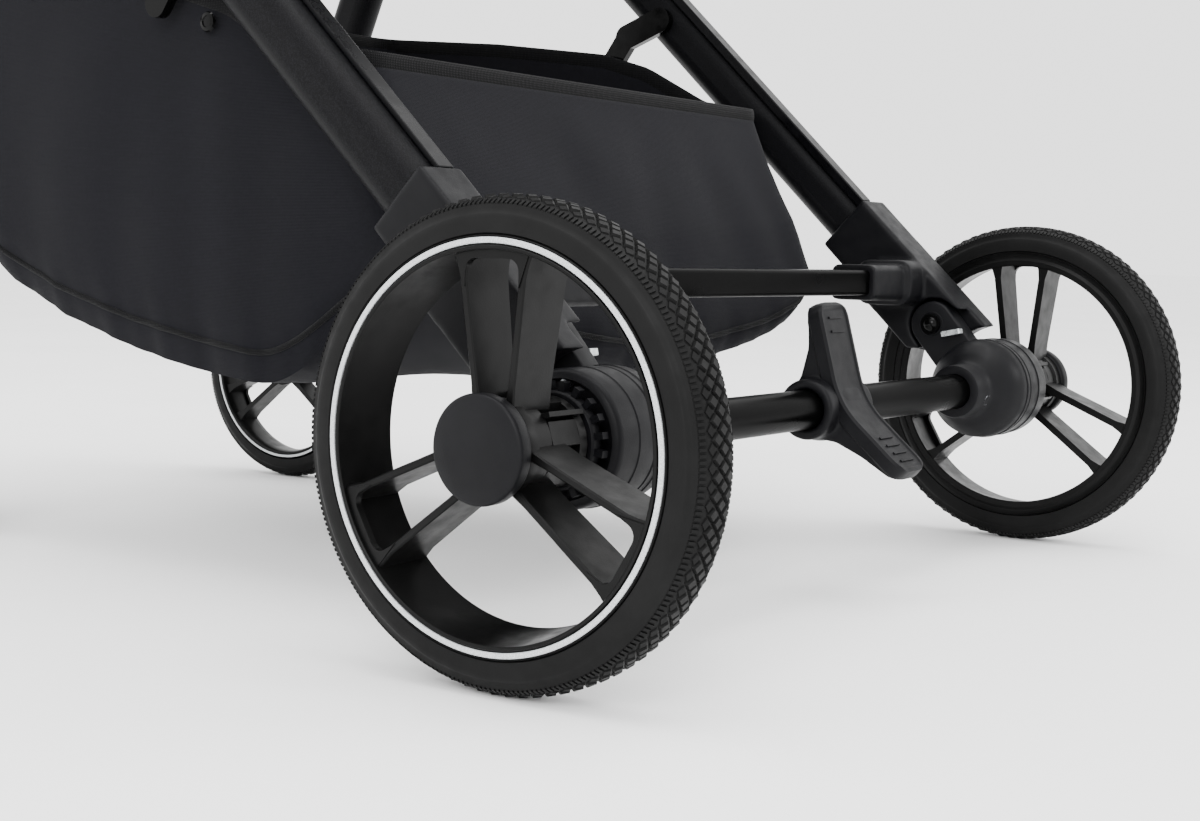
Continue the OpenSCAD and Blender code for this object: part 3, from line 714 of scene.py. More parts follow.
# %% [markdown]
# ## Axle housings, brackets and pedal
# Most mouldings keep their CAD shape and get soft blended edges. The housings, the rear
# brackets, the cross tube and the pedal are built again here with their collars, part lines,
# screw holes, rolled corners, raised borders and ticks.

# %% Mouldings from the frame


def soften(piece, voxel, smooth):
    """Joins a piece's solids into one skin and blends its edges and corners."""
    remesh = piece.modifiers.new("remesh", "REMESH")
    remesh.mode = "VOXEL"
    remesh.voxel_size = voxel * MM
    remesh.use_smooth_shade = True
    blur = piece.modifiers.new("blend", "SMOOTH")
    blur.factor = 0.5
    blur.iterations = smooth


def dress(node, material, bevel=0.0, voxel=0.0, smooth=8, segments=2):
    """Gives a CAD node its material and soft edges, by modifiers only."""
    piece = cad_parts[node]
    piece.data.materials.clear()
    piece.data.materials.append(material)
    weld = piece.modifiers.new("weld", "WELD")
    weld.merge_threshold = 0.01 * MM
    if voxel:
        soften(piece, voxel, smooth)
    elif bevel:
        round_off = piece.modifiers.new("bevel", "BEVEL")
        round_off.width = bevel * MM
        round_off.segments = segments
        round_off.limit_method = "ANGLE"
        round_off.angle_limit = math.radians(42)
        round_off.harden_normals = False


def dress_all(names, material, **options):
    for name in names:
        dress(name, material, **options)


def sides(name):
    return [name + "_left", name + "_right"]


dress_all(sides("fold_hub"), case_plastic, voxel=1.3, smooth=7)
dress_all(["swivel_housings"] + sides("front_fork"), case_plastic, bevel=1.4, segments=3)
dress_all(["rear_knuckles", "handle_knuckles"], case_plastic, bevel=1.2)
dress_all(["axle_tube"], tube_paint)
dress_all(sides("rear_leg") + sides("front_leg") + ["handlebar"], frame_paint)
dress_all(["leg_rails"], rail_plastic, bevel=0.8)
dress_all(["basket_hangers"], gloss_plastic, bevel=1.4, segments=3)
dress_all(["wheel_axles"] + sides("brake_pin") + sides("release_tab"), steel, bevel=0.5)
dress_all(["fold_pins"] + sides("front_axle") + sides("swivel_lock"), dark_steel, bevel=0.6)
dress_all(["suspension_bushes"], soft_rubber, bevel=0.4)
dress_all(["fold_button", "buckle"], case_plastic, bevel=1.0)
dress_all(["buckle_button"], red_plastic, bevel=0.8, segments=3)
dress_all(["seat_frame"], case_plastic, bevel=1.2)
dress_all(["canopy_rear_bow", "canopy_middle_bow", "canopy_front_bow"], rail_plastic, bevel=0.6)
dress_all(["handle_grip", "bumper_bar"], grip_leather, bevel=1.2, segments=3)

# %% Axle housings
SWING_PIVOT = Vector((0, -35, 149))
# Directions in the side plane: up along the rear leg, and square to it towards the back
LEG_UP = Vector((0, -0.7229, 0.6910))
LEG_BACK = Vector((0, 0.6910, 0.7229))


def bracket_outline(lower_edge):
    """The bracket's side outline, from (across, along the leg) points, as (y, z)."""
    outline = [(21.0, 97.0)] + lower_edge + [(-25.5, 2.0), (-25.5, 46.0), (-21.0, 52.0), (-21.0, 97.0)]
    points = []
    for v, u in outline:
        at = SWING_PIVOT + LEG_UP * u + LEG_BACK * v
        points.append((at.y, at.z))
    return points


def rear_bracket():
    """Moulding that holds the leg and the cross tube, with a cheek outside the swing arm."""
    bm = bmesh.new()
    cheek_edge = [(21.0, -23.0)] + [(a - 0.9, b - 54.1) for a, b in ring_of(38.0, 12, 56, 54)]
    pocket_edge = [(21.0, -8.0), (18.4, -5.0)] + ring_of(17.2, 16, 0, 180) + [(-18.6, -5.0)]
    add_prism(bm, bracket_outline(cheek_edge), 229.8, 248.0)
    add_prism(bm, bracket_outline(pocket_edge), 216.0, 231.0)
    tube = SWING_PIVOT + LEG_UP * 39.0
    for half_y, half_z, corner, x0, x1 in ((16.0, 11.5, 5.0, 152.0, 222.0), (20.0, 15.0, 9.0, 196.0, 222.0)):
        outline = []
        for a, b, start in ((1, 1, 0), (-1, 1, 90), (-1, -1, 180), (1, -1, 270)):
            for p, q in ring_of(corner, 8, start, 90):
                outline.append((tube.y + a * (half_y - corner) + p, tube.z + b * (half_z - corner) + q))
        add_prism(bm, outline, x0, x1)
    return bm


def add_bar(bm, a, b, width, x0, x1, ends=18):
    """A flat bar with round ends between two side-plane points, as (y, z)."""
    a, b = Vector(a), Vector(b)
    heading = math.degrees(math.atan2(b.y - a.y, b.x - a.x))
    outline = [(a.x + p, a.y + q) for p, q in ring_of(width / 2, ends, heading + 90, 180)]
    outline += [(b.x + p, b.y + q) for p, q in ring_of(width / 2, ends, heading - 90, 180)]
    add_prism(bm, outline, x0, x1)


def axle_housing():
    """Collar, stepped dome, grooved drum with an open cup, and the swing arm."""
    bm = bmesh.new()
    profile = [(11.3, 174.0), (14.6, 174.0), (16.4, 174.6), (17.1, 176.0), (17.3, 190.0), (18.2, 192.2),
               (19.5, 194.0), (22.5, 196.0), (25.0, 198.6), (26.6, 200.6), (28.6, 203.0), (30.6, 207.0),
               (31.8, 211.5), (32.0, 216.0), (32.0, 223.4), (31.4, 224.0), (31.4, 224.8), (32.0, 225.4),
               (32.0, 250.2), (31.4, 252.2), (30.0, 253.4), (27.6, 253.8), (26.8, 252.0), (26.4, 248.0),
               (10.0, 247.0), (5.4, 246.0), (5.4, 209.0), (11.3, 204.5)]
    add_turned(bm, profile, segments=96, centre=(0, 0, REAR_R))
    arm = bmesh.new()
    add_bar(arm, (-35, 149), (-7, 116), 30, 213.5, 227.8)
    bevel_sharp(arm, 1.4, segments=3)
    merge(bm, arm)
    for x in (219.0, 238.0):
        add_turned(bm, [(32.1, x - 0.5), (32.5, x), (32.1, x + 0.5), (31.0, x)], centre=(0, 0, REAR_R))
    return bm


def merge(bm, other):
    """Adds another bmesh's geometry to this one."""
    mesh = bpy.data.meshes.new("merge")
    other.to_mesh(mesh)
    other.free()
    bm.from_mesh(mesh)
    bpy.data.meshes.remove(mesh)


def housing_screw():
    """A screw in its counterbore on the rear of the collar's dome."""
    bm = bmesh.new()
    turn = Matrix.Rotation(math.radians(-20), 4, "X") @ Matrix.Rotation(math.radians(90), 4, "Z")
    add_turned(bm, [(0.02, 0.0), (1.6, 0.0), (2.6, 0.5), (2.7, 1.4), (3.6, 1.6), (3.7, 0.6), (3.2, -1.2),
                    (0.02, -1.2)], segments=32)
    bm.transform(Matrix.Translation((189.0, 15.2, REAR_R - 5.0)) @ turn)
    return bm


def pivot_button():
    """The glossy domed button over the swing arm's pivot, in a circular part line."""
    bm = bmesh.new()
    dome = [(0.02, 208.6), (1.6, 208.7), (3.4, 209.4), (4.7, 210.7), (5.4, 212.2), (5.6, 214.2),
            (0.02, 214.2)]
    add_turned(bm, dome, segments=48, centre=(0, SWING_PIVOT.y, SWING_PIVOT.z))
    return bm


def pivot_part_line():
    bm = bmesh.new()
    add_turned(bm, [(7.2, 213.3), (7.5, 212.9), (8.0, 212.9), (8.3, 213.3), (8.3, 214), (7.2, 214)],
               segments=64, centre=(0, SWING_PIVOT.y, SWING_PIVOT.z))
    return bm


both_sides("axle_housing_detail", axle_housing, case_plastic, "suspension", ("axle_housing_{}",))
both_sides("housing_screw", housing_screw, dark_steel, "suspension")
both_sides("pivot_button", pivot_button, gloss_plastic, "suspension")
both_sides("pivot_part_line", pivot_part_line, case_plastic, "suspension")
dress("pivot_pins", gloss_plastic)

# %% Cross tube
crossbar_low, crossbar_high = box_mm("crossbar")


def cross_tube():
    """The rectangular tube between the brackets, with softly rolled corners."""
    bm = bmesh.new()
    middle = (crossbar_low + crossbar_high) / 2 - ORIGIN
    deep = (crossbar_high.y - crossbar_low.y) / 2
    high = (crossbar_high.z - crossbar_low.z) / 2
    corner = 2.6
    outline = []
    for a, b, start in ((1, 1, 0), (-1, 1, 90), (-1, -1, 180), (1, -1, 270)):
        for p, q in ring_of(corner, 6, start, 90):
            outline.append((middle.y + a * (deep - corner) + p, middle.z + b * (high - corner) + q))
    add_prism(bm, outline, crossbar_low.x, crossbar_high.x)
    return bm


new_piece("cross_tube", cross_tube(), tube_paint, "rear_frame", ["crossbar"])
both_sides("bracket_moulding", rear_bracket, case_plastic, "rear_frame",
           ("rear_bracket_{}",))
for side in ("left", "right"):
    soften(bpy.data.objects["bracket_moulding_" + side], voxel=1.3, smooth=7)

# %% Brake pedal
PEDAL_HALF = (box_mm("brake_pedal")[1].x - box_mm("brake_pedal")[0].x) / 2 - 9


def fillet_path(a, corner, b, radius, count=10):
    """The path a, corner, b with a rounded corner; all are side-plane points."""
    a, corner, b = Vector(a), Vector(corner), Vector(b)
    start = corner + (a - corner).normalized() * radius
    end = corner + (b - corner).normalized() * radius
    curve = []
    for i in range(count + 1):
        t = i / count
        curve.append(start * (1 - t) ** 2 + corner * 2 * t * (1 - t) + end * t ** 2)
    first = [a + (start - a) * (i / 8) for i in range(8)]
    last = [end + (b - end) * (i / 8) for i in range(1, 9)]
    return first + curve + last


def pedal_pads():
    """The two pads: one bent slab with round ends, a raised border and grip ticks."""
    bm = bmesh.new()
    axle = Vector((0, REAR_R))
    path = fillet_path(axle + Vector((-3, 58)), axle + Vector((12.5, 1.5)), axle + Vector((53, -33.5)), 17)
    lengths = [0.0]
    for p, q in zip(path, path[1:]):
        lengths.append(lengths[-1] + (q - p).length)
    total = lengths[-1]
    corner = 9.0
    loops = []
    stations = [0, 0.8, 2.0, 3.6, 5.4, 7.2, 9.0]
    keys = stations + [s for s in lengths if 11 < s < total - 11] + [total - s for s in reversed(stations)]
    for s in keys:
        k = max(i for i in range(len(lengths)) if lengths[i] <= s + 1e-6)
        k = min(k, len(path) - 2)
        here = path[k] + (path[k + 1] - path[k]) * ((s - lengths[k]) / (lengths[k + 1] - lengths[k]))
        low = max(k - 1, 0)
        heading = (path[min(k + 2, len(path) - 1)] - path[low]).normalized()
        out = Vector((-heading.y, heading.x))
        end = min(s, total - s, corner)
        pulled = corner - math.sqrt(max(0.0, corner ** 2 - (corner - end) ** 2))
        half = PEDAL_HALF - pulled
        soft = 1.4 * (1 - min(end, 3.0) / 3.0)
        top = 4.6 - soft
        inner = 0.0 if end < 3.4 else 0.75
        section = [(-half + 1.2, -4.4 + soft), (-half, -3.0 + soft), (-half, top - 1.4), (-half + 1.3, top),
                   (-half + 3.0, top), (-half + 3.7, top - inner), (half - 3.7, top - inner),
                   (half - 3.0, top), (half - 1.3, top), (half, top - 1.4), (half, -3.0 + soft),
                   (half - 1.2, -4.4 + soft)]
        loops.append([Vector((x, here.x + out.x * h, here.y + out.y * h)) for x, h in section])
    add_loft(bm, loops)
    for marks, first, second in ((2, path[1], path[4]), (4, path[-7], path[-2])):
        heading = (second - first).normalized()
        out = Vector((-heading.y, heading.x))
        for i in range(marks):
            spot = first + (second - first) * ((i + 0.5) / marks) + out * 4.2
            turn = Matrix.Rotation(math.atan2(heading.y, heading.x), 4, "X")
            add_box(bm, (15.0, 1.3, 0.9), Vector((0, spot.x, spot.y)), turn)
    return bm


def pedal_body():
    """The collar round the axle tube and the webs that flare from it to the pads."""
    bm = bmesh.new()
    axle = (0, 0, REAR_R)
    collar = [(11.2, -26.0), (15.6, -26.0), (16.8, -25.0), (17.0, -18.0), (18.5, -8.0), (18.5, 8.0),
              (17.0, 18.0), (16.8, 25.0), (15.6, 26.0), (11.2, 26.0)]
    add_turned(bm, collar, segments=64, centre=axle)
    web = [(-14, 9), (-9, 18), (-5, 34), (-6.5, 56), (-1, 56), (15, 4), (52, -31), (47, -35), (30, -25),
           (14, -18), (4, -17), (-10, -13)]
    loops = []
    for x, inset in ((-15.5, 1.2), (-14.5, 0.0), (14.5, 0.0), (15.5, 1.2)):
        loops.append([Vector((x, y * (1 - inset / 40), REAR_R + z * (1 - inset / 40))) for y, z in web])
    add_loft(bm, loops)
    return bm


new_piece("pedal_pads", pedal_pads(), case_plastic, "brake_pedal", ["brake_pedal"])
pedal_core = new_piece("pedal_body", pedal_body(), case_plastic, "brake_pedal")
soften(pedal_core, voxel=1.1, smooth=10)
print("housings and pedal made")

# %% [markdown]
# ## Basket
# One sewn bag: the walls bulge a little, gather along the seam just above the floor, and
# the floor sags. Its hem is bound and a piping runs along the seam.

# %% Basket cloth
HEM_LINE = [(-515, 352), (-400, 343), (-300, 331), (-262, 320), (-212, 294), (-165, 287)]
FLOOR_LINE = [(-512, 214), (-480, 183), (-442, 161), (-401, 146), (-340, 130), (-282, 120), (-228, 115),
              (-199, 115), (-136, 120), (-112, 122)]
LIFT_LINE = [(0, 0), (67, 8), (120, 17), (168, 32), (199, 56), (215, 72)]
REAR_LINE = [(0.0, -165.0), (0.5, -127.0), (0.86, -107.0), (0.95, -107.0), (1.0, -112.0)]
FRONT_LINE = [(0.0, -514.0), (0.6, -514.0), (1.0, -505.0)]
HALF_LINE = [(0.0, 207.0), (0.25, 210.0), (0.6, 211.5), (0.85, 209.0), (0.95, 205.0), (1.0, 201.0)]
CORNER_LINE = [(0.0, 16.0), (0.6, 34.0), (1.0, 48.0)]
AROUND = 220


def rounded_rectangle(half_x, y0, y1, corner, count):
    """Points evenly round a rectangle, from the middle of its rear edge to the left."""
    corner = min(corner, half_x, (y1 - y0) / 2)
    path = []
    centres = [(half_x - corner, y1 - corner, 90), (half_x - corner, y0 + corner, 0),
               (corner - half_x, y0 + corner, -90), (corner - half_x, y1 - corner, -180)]
    path.append(Vector((0, y1)))
    for x, y, start in centres:
        for i in range(9):
            a = math.radians(start - 90 * i / 8)
            path.append(Vector((x + corner * math.cos(a), y + corner * math.sin(a))))
    path.append(Vector((0, y1)))
    lengths = [0.0]
    for p, q in zip(path, path[1:]):
        lengths.append(lengths[-1] + (q - p).length)
    keys = list(zip(lengths, path))
    return [between(keys, lengths[-1] * i / count) for i in range(count)]


def basket_point(flat, down, index):
    """A point of the basket's wall: its place in plan, and 0 at the hem to 1 at the floor seam."""
    hem = between(HEM_LINE, flat.y)
    floor_z = between(FLOOR_LINE, flat.y)
    lift = between(LIFT_LINE, abs(flat.x)) * smoothstep((flat.y + 245) / 125)
    floor_z += lift * down
    z = hem + (floor_z - hem) * down
    point = Vector((flat.x, flat.y, z))
    out = Vector((flat.x / 212, (flat.y + 310) / 205, 0))
    out.normalize()
    gather = math.exp(-((1 - down) * 170 / 26) ** 2)
    pucker = math.sin(index * 0.83) + 0.7 * math.sin(index * 1.91 + 1.3)
    drape = noise.noise(Vector((flat.x, flat.y, z * 0.45)) * 0.013)
    fold = noise.noise(Vector((flat.x * 2.2, flat.y * 2.2, z * 0.5)) * 0.012 + Vector((7, 3, 1)))
    amount = 0.9 * gather * pucker + (3.6 * drape + 2.2 * fold) * smoothstep(down * 3) - 1.5
    return point + out * amount


def basket_rows():
    """Rows of points from the hem down the walls and across the floor."""
    rows = []
    steps = 34
    for k in range(steps + 1):
        down = k / steps
        outline = rounded_rectangle(between(HALF_LINE, down), between(FRONT_LINE, down),
                                    between(REAR_LINE, down), between(CORNER_LINE, down), AROUND)
        rows.append([basket_point(p, down, i) for i, p in enumerate(outline)])
    edge = rows[-1]
    middle_y = -310.0
    floor_steps = 12
    for k in range(1, floor_steps + 1):
        inward = k / floor_steps
        row = []
        for p in edge:
            x = p.x * (1 - inward)
            y = p.y + (middle_y + (p.y - middle_y) * 0.45 - p.y) * inward
            seam_drop = 3.0 * math.sin(min(1.0, inward * 3) * math.pi / 2)
            level = between(FLOOR_LINE, y) + (p.z - between(FLOOR_LINE, p.y)) * (1 - inward) ** 2
            ripple = 1.6 * noise.noise(Vector((x, y, 0)) * 0.02)
            row.append(Vector((x, y, level - seam_drop + ripple)))
        rows.append(row)
    return rows


def map_cloth(piece):
    """A map in metres: x or y along the surface, and height, so that threads lie straight."""
    mesh = piece.data
    layer = mesh.uv_layers.new(name="cloth").data
    for face in mesh.polygons:
        n = face.normal
        for index in face.loop_indices:
            p = mesh.vertices[mesh.loops[index].vertex_index].co
            if abs(n.z) > max(abs(n.x), abs(n.y)):
                layer[index].uv = (p.x, p.y)
            elif abs(n.x) > abs(n.y):
                layer[index].uv = (p.y, p.z)
            else:
                layer[index].uv = (p.x, p.z)


def basket_shell():
    bm = bmesh.new()
    rows = basket_rows()
    add_loft(bm, rows, caps=False)
    bmesh.ops.remove_doubles(bm, verts=bm.verts[:], dist=0.05)
    return bm


def loop_tube(row, section, lift=0.0):
    bm = bmesh.new()
    add_tube(bm, [p + Vector((0, 0, lift)) for p in row], section, closed=True, up=Vector((0, 0, 1)))
    return bm


CLOTH_T = 1.1
basket = new_piece("basket_cloth", basket_shell(), basket_cloth, None, ["basket"], angle=60)
map_cloth(basket)
thick = basket.modifiers.new("thickness", "SOLIDIFY")
thick.thickness = CLOTH_T * MM
thick.offset = -1.0
rows = basket_rows()
oval = [(1.5 * a, 5.5 * b) for a, b in ring_of(1.0, 12)]
hem = new_piece("basket_hem", loop_tube(rows[0], oval), binding, None)
round_cord = ring_of(1.7, 10)
piping = new_piece("basket_piping", loop_tube(rows[31], round_cord), binding, None)
for cloth_piece in (hem, piping):
    map_cloth(cloth_piece)
for cloth_piece in (basket, hem, piping):
    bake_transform(cloth_piece)


def hem_snaps():
    """Round snap fasteners on the basket's sides, where it hangs from the hangers."""
    bm = bmesh.new()
    for s in (-1, 1):
        snap = [(0.02, 0.0), (5.2, 0.0), (5.6, 0.6), (5.0, 1.6), (3.2, 2.0), (2.8, 1.4), (0.02, 1.5)]
        add_turned(bm, [(r, s * (209.5 + x)) for r, x in snap], segments=32, centre=(0, -273, 311))
    return bm


snaps = new_piece("basket_snaps", hem_snaps(), gloss_plastic, None)
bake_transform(snaps)
print("basket made:", len(basket.data.polygons), "faces")

# %% [markdown]
# ## Seat, backrest and leg rest
# Padded pieces are swollen by a short cloth simulation from slightly smaller blocks, then
# sewn: channels are pressed in, and piping runs round their edges.

# %% Padding
SEAT_HALF = (box_mm("seat_cushion")[1].x - box_mm("seat_cushion")[0].x) / 2
PAD_VOXEL = 6.0
PAD_PRESSURE = 4.0
PAD_FRAMES = 20


def apply_modifiers(piece):
    """Replaces a piece's mesh with what its modifiers make of it."""
    depsgraph = bpy.context.evaluated_depsgraph_get()
    mesh = bpy.data.meshes.new_from_object(piece.evaluated_get(depsgraph))
    piece.modifiers.clear()
    piece.data = mesh


def swell(piece, cap_mm):
    """Inflates a closed piece as cloth, keeping every point within a cap of its start."""
    scene = bpy.context.scene
    scene.frame_set(1)
    start = [v.co.copy() for v in piece.data.vertices]
    cloth = piece.modifiers.new("cloth", "CLOTH")
    cloth.settings.use_pressure = True
    cloth.settings.uniform_pressure_force = PAD_PRESSURE
    cloth.settings.effector_weights.gravity = 0
    cloth.settings.quality = 4
    for step in range(1, PAD_FRAMES + 1):
        scene.frame_set(step)
    apply_modifiers(piece)
    for vertex, old in zip(piece.data.vertices, start):
        moved = vertex.co - old
        if moved.length > cap_mm * MM:
            vertex.co = old + moved.normalized() * cap_mm * MM
    scene.frame_set(1)


def rounded_slab(width, length, thick, corner, waist):
    """A slab in the XY plane whose long sides pull in between the corners."""
    bm = bmesh.new()
    outline = []
    for a, b, start in ((1, 1, 0), (-1, 1, 90), (-1, -1, 180), (1, -1, 270)):
        for i in range(7):
            turn = math.radians(start + 15 * i)
            outline.append((a * (width / 2 - corner) + corner * math.cos(turn),
                            b * (length / 2 - corner) + corner * math.sin(turn)))
    loops = []
    for height, inset in ((0.0, 4.0), (0.12, 1.0), (0.35, 0.0), (0.65, 0.0), (0.88, 1.0), (1.0, 4.0)):
        loop = []
        for x, y in outline:
            pull = waist * (1 - (2 * y / length) ** 2)
            x -= math.copysign(pull + inset, x)
            y -= math.copysign(inset, y)
            loop.append(Vector((x, y, (height - 0.5) * thick)))
        loops.append(loop)
    add_loft(bm, loops)
    return bm


def pad_edge(width, length, corner, waist, level):
    """Points of the line round the edge of a pad, in pad axes."""
    path = []
    for a, b, start in ((1, 1, 0), (-1, 1, 90), (-1, -1, 180), (1, -1, 270)):
        for i in range(9):
            turn = math.radians(start + 90 * i / 8)
            path.append(Vector((a * (width / 2 - corner) + corner * math.cos(turn),
                                b * (length / 2 - corner) + corner * math.sin(turn), level)))
    full = []
    for p, q in zip(path, path[1:] + path[:1]):
        steps = max(1, int((q - p).length / 14))
        full += [p + (q - p) * (i / steps) for i in range(steps)]
    for p in full:
        p.x -= math.copysign(waist * (1 - min(1.0, abs(2 * p.y / length)) ** 2), p.x)
    return full


def sewn_piping(piece, path, place, radius=2.0):
    """Piping that lies on a pad's finished surface, at the points nearest to a path."""
    mesh = piece.data
    skin = BVHTree.FromPolygons([v.co for v in mesh.vertices], [f.vertices for f in mesh.polygons])
    points = []
    for p in path:
        spot = skin.find_nearest((ORIGIN + place @ p) * MM)[0]
        points.append(spot / MM - ORIGIN)
    bm = bmesh.new()
    add_tube(bm, points, ring_of(radius, 10), closed=True, up=place.to_3x3() @ Vector((0, 0, 1)))
    return bm


def press_channels(piece, back, channels, depth_mm, width_mm):
    """Presses sewn channels into the face of a pad; back turns its points to pad axes."""
    for vertex in piece.data.vertices:
        p = back @ (vertex.co / MM)
        if p.z < 2:
            continue
        push = 0.0
        for kind, at, low, high in channels:
            along, across = (p.y, p.x) if kind == "length" else (p.x, p.y)
            if low <= along <= high:
                push = max(push, math.exp(-((across - at) / width_mm) ** 2))
        wrinkle = 0.8 * noise.noise(p * 0.03) + 0.35 * noise.noise(p * 0.11)
        p.z += wrinkle - depth_mm * push
        vertex.co = (back.inverted() @ p) * MM


def make_pad(name, size, corner, waist, body, replaced, place, channels, cap_mm):
    """A swollen pad with sewn channels and piping; place turns pad axes to the frame's."""
    width, length, thickness = size
    bm = rounded_slab(width, length, thickness, corner, waist)
    bm.transform(place)
    piece = new_piece(name, bm, seat_cloth, None, [replaced], angle=180)
    remesh = piece.modifiers.new("remesh", "REMESH")
    remesh.mode = "VOXEL"
    remesh.voxel_size = PAD_VOXEL * MM
    apply_modifiers(piece)
    swell(piece, cap_mm)
    round_up = piece.modifiers.new("round", "SUBSURF")
    round_up.levels = 1
    round_up.render_levels = 1
    apply_modifiers(piece)
    back = (Matrix.Translation(ORIGIN) @ place).inverted()
    press_channels(piece, back, channels, 5.5, 4.5)
    piece.data.shade_smooth()
    map_cloth(piece)
    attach(piece, body)
    path = pad_edge(width + 2, length + 2, corner, waist, 0.30 * thickness)
    edge = sewn_piping(piece, path, place)
    edge_piece = new_piece(name + "_piping", edge, binding, body)
    map_cloth(edge_piece)
    return piece


seat_low, seat_high = box_mm("seat_cushion")
seat_middle = (seat_low + seat_high) / 2 - ORIGIN
seat_size = (2 * SEAT_HALF - 12, seat_high.y - seat_low.y - 10, seat_high.z - seat_low.z - 9)
make_pad("seat_pad", seat_size, 34, 5.0, "chassis", "seat_cushion", Matrix.Translation(seat_middle),
         [("length", -88, -60, 110), ("length", 88, -60, 110), ("width", -58, -130, 130)], 6.0)

HINGE = Vector((0, -249, 555))
BACK_LEAN = math.radians(64 - 90)
BACK_LEN = 426.0
back_turn = Matrix.Translation(HINGE) @ Matrix.Rotation(BACK_LEAN, 4, "X")
upright = Matrix.Rotation(math.radians(90), 4, "X")
back_place = back_turn @ Matrix.Translation((0, 14, 4 + BACK_LEN / 2)) @ upright
make_pad("backrest_pad", (2 * SEAT_HALF - 12, BACK_LEN - 10, 17), 42, 6.0, "backrest", "backrest",
         back_place, [("length", -92, -190, 190), ("length", 92, -190, 190), ("width", -70, -90, 90),
                      ("width", 60, -90, 90)], 5.0)

leg_middle = Vector((0, -553, 464))
leg_place = Matrix.Translation(leg_middle) @ Matrix.Rotation(math.radians(90), 4, "X")
make_pad("leg_rest_pad", (250, 130, 12), 24, 3.0, "leg_rest", "leg_rest", leg_place,
         [("width", 15, -105, 105), ("width", -25, -105, 105)], 4.0)


def hinge_rods():
    """The hinge tube that carries the backrest."""
    bm = bmesh.new()
    add_turned(bm, [(0.02, -182), (6.0, -182), (6.0, 182), (0.02, 182)], 32, (0, HINGE.y, HINGE.z))
    return bm


def leg_rest_rod():
    bm = bmesh.new()
    add_turned(bm, [(0.02, -141.5), (4.0, -141.5), (4.0, 141.5), (0.02, 141.5)], 32, (0, -553, 526))
    return bm


new_piece("backrest_rod", hinge_rods(), dark_steel, "backrest")
new_piece("leg_rest_rod", leg_rest_rod(), dark_steel, "leg_rest")
print("three pads made")

# %% [markdown]
# ## Harness
# Shoulder straps with soft covers on the backrest, and waist and crotch straps that meet
# in the buckle.

# %% Harness


def add_strap(bm, points, width, thickness, across):
    """A flat strap with soft edges along points; across is its width direction."""
    w, t = width / 2, thickness / 2
    section = [(w - t, t), (t - w, t), (-w, t * 0.4), (-w, -t * 0.4), (t - w, -t), (w - t, -t),
               (w, -t * 0.4), (w, t * 0.4)]
    across = Vector(across)
    points = [Vector(p) for p in points]
    loops = []
    for i, point in enumerate(points):
        along = (points[min(i + 1, len(points) - 1)] - points[max(i - 1, 0)]).normalized()
        side = (across - along * across.dot(along)).normalized()
        over = side.cross(along)
        loops.append([point + side * a + over * b for a, b in section])
    add_loft(bm, loops)


def arc_between(a, b, rise, count=16):
    a, b, rise = Vector(a), Vector(b), Vector(rise)
    return [a + (b - a) * (i / count) + rise * math.sin(math.pi * i / count) for i in range(count + 1)]


def shoulder_straps():
    bm = bmesh.new()
    for s in (-1, 1):
        add_strap(bm, arc_between((s * 60, -3.2, 60), (s * 60, -3.0, 318), (0, -2.0, 0)), 25, 1.6, (1, 0, 0))
    bm.transform(back_turn)
    return bm


def shoulder_pads():
    bm = bmesh.new()
    for s in (-1, 1):
        loops = []
        for i in range(21):
            t = i / 20
            end = min(t, 1 - t) * 20
            half = 21.0 * min(1.0, 0.72 + 0.28 * math.sqrt(min(1.0, end / 2)))
            thick_here = 3.8 * math.sqrt(min(1.0, 0.12 + end / 1.8))
            z = 160 + 140 * t
            loop = [Vector((s * 60 + half * a, -7.6 + thick_here * b, z)) for a, b in ring_of(1.0, 20)]
            loops.append(loop)
        add_loft(bm, loops)
    bm.transform(back_turn)
    return bm


BUCKLE = middle_mm("buckle") - ORIGIN


def lap_straps():
    """Waist straps from the rear corners of the seat, and the crotch strap, to the buckle."""
    bm = bmesh.new()
    for s in (-1, 1):
        hip = (s * 128, -285, 586)
        end = (s * 22, BUCKLE.y + 6, BUCKLE.z)
        add_strap(bm, arc_between(hip, end, (s * 10, 0, 7)), 25, 1.6, (0, 0.94, 0.34))
    add_strap(bm, arc_between((0, -497, 582), (0, BUCKLE.y - 22, BUCKLE.z), (0, 0, 4)), 30, 1.8, (1, 0, 0))
    return bm


straps = new_piece("shoulder_straps", shoulder_straps(), webbing, "backrest", ["harness"])
pads_piece = new_piece("shoulder_pads", shoulder_pads(), seat_cloth, "backrest", angle=60)
lap = new_piece("lap_straps", lap_straps(), webbing, "chassis")
for cloth_piece in (straps, pads_piece, lap):
    map_cloth(cloth_piece)
print("harness made")
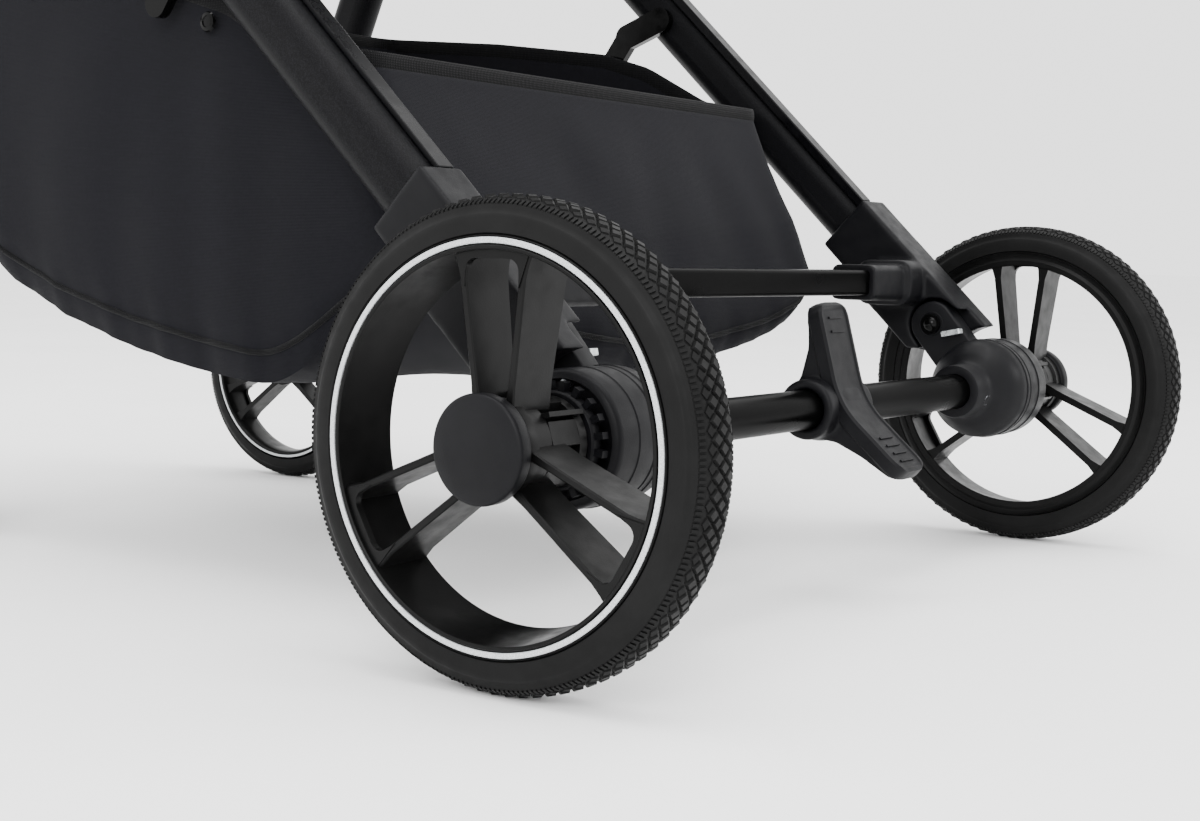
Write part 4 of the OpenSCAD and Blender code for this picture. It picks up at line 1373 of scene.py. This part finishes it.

# %% [markdown]
# ## Canopy
# One continuous sheet over the three bows. It is folded back at rest, so it lies in soft
# pleats between the bows.

# %% Canopy cloth
BOW_PIVOT = Vector((0, -465 + 340 * math.cos(math.radians(42)), 560 + 340 * math.sin(math.radians(42))))
BOW_SLOPES = (55, 63, 71)
CANOPY_HALF = 214.5
CANOPY_TOP = 244.0
CANOPY_CORNER = 70.0
PLEAT_DEPTH = 34.0


def canopy_row(slope, raise_by):
    """One U-shaped line of cloth over the bows at a slope, from one side to the other."""
    out = Vector((0, math.cos(math.radians(slope)), math.sin(math.radians(slope))))
    half = CANOPY_HALF + raise_by * 0.5
    top = CANOPY_TOP + raise_by
    path = [(half, 62 + i * (top - CANOPY_CORNER - 62) / 12) for i in range(12)]
    flat = half - CANOPY_CORNER
    path += [(flat + a, top - CANOPY_CORNER + b) for a, b in ring_of(CANOPY_CORNER, 13, 0, 90)]
    path += [(flat * (1 - i / 12), top + 2.0 * math.sin(math.pi * i / 24)) for i in range(1, 13)]
    path += [(-x, h) for x, h in reversed(path[:-1])]
    return [BOW_PIVOT + out * h + Vector((x, 0, 0)) for x, h in path]


def canopy_sheet():
    bm = bmesh.new()
    rows = []
    first, last = BOW_SLOPES[0] - 7.0, BOW_SLOPES[2] + 7.0
    steps = 96
    for k in range(steps + 1):
        slope = first + (last - first) * k / steps
        inside = BOW_SLOPES[0] <= slope <= BOW_SLOPES[2]
        wave = math.sin(math.pi * (slope - BOW_SLOPES[0]) / 4.0) ** 2 if inside else 0.0
        row = canopy_row(slope, -PLEAT_DEPTH * wave)
        for i, p in enumerate(row):
            p += Vector((0, 0, 1.2 * noise.noise(p * 0.02)))
            row[i] = p
        rows.append(row)
    add_loft(bm, rows, closed_loop=False)
    return bm


canopy = new_piece("canopy_cloth", canopy_sheet(), hood_cloth, None, ["canopy"], angle=180)
map_cloth(canopy)
canopy_thick = canopy.modifiers.new("thickness", "SOLIDIFY")
canopy_thick.thickness = CLOTH_T * MM
canopy_thick.offset = 1.0
canopy_edges = bmesh.new()
for slope in (BOW_SLOPES[0] - 7.0, BOW_SLOPES[2] + 7.0):
    add_tube(canopy_edges, canopy_row(slope, 0.0), ring_of(2.2, 10))
edging = new_piece("canopy_edging", canopy_edges, binding, None)
map_cloth(edging)
for cloth_piece in (canopy, edging):
    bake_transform(cloth_piece)
print("canopy made")
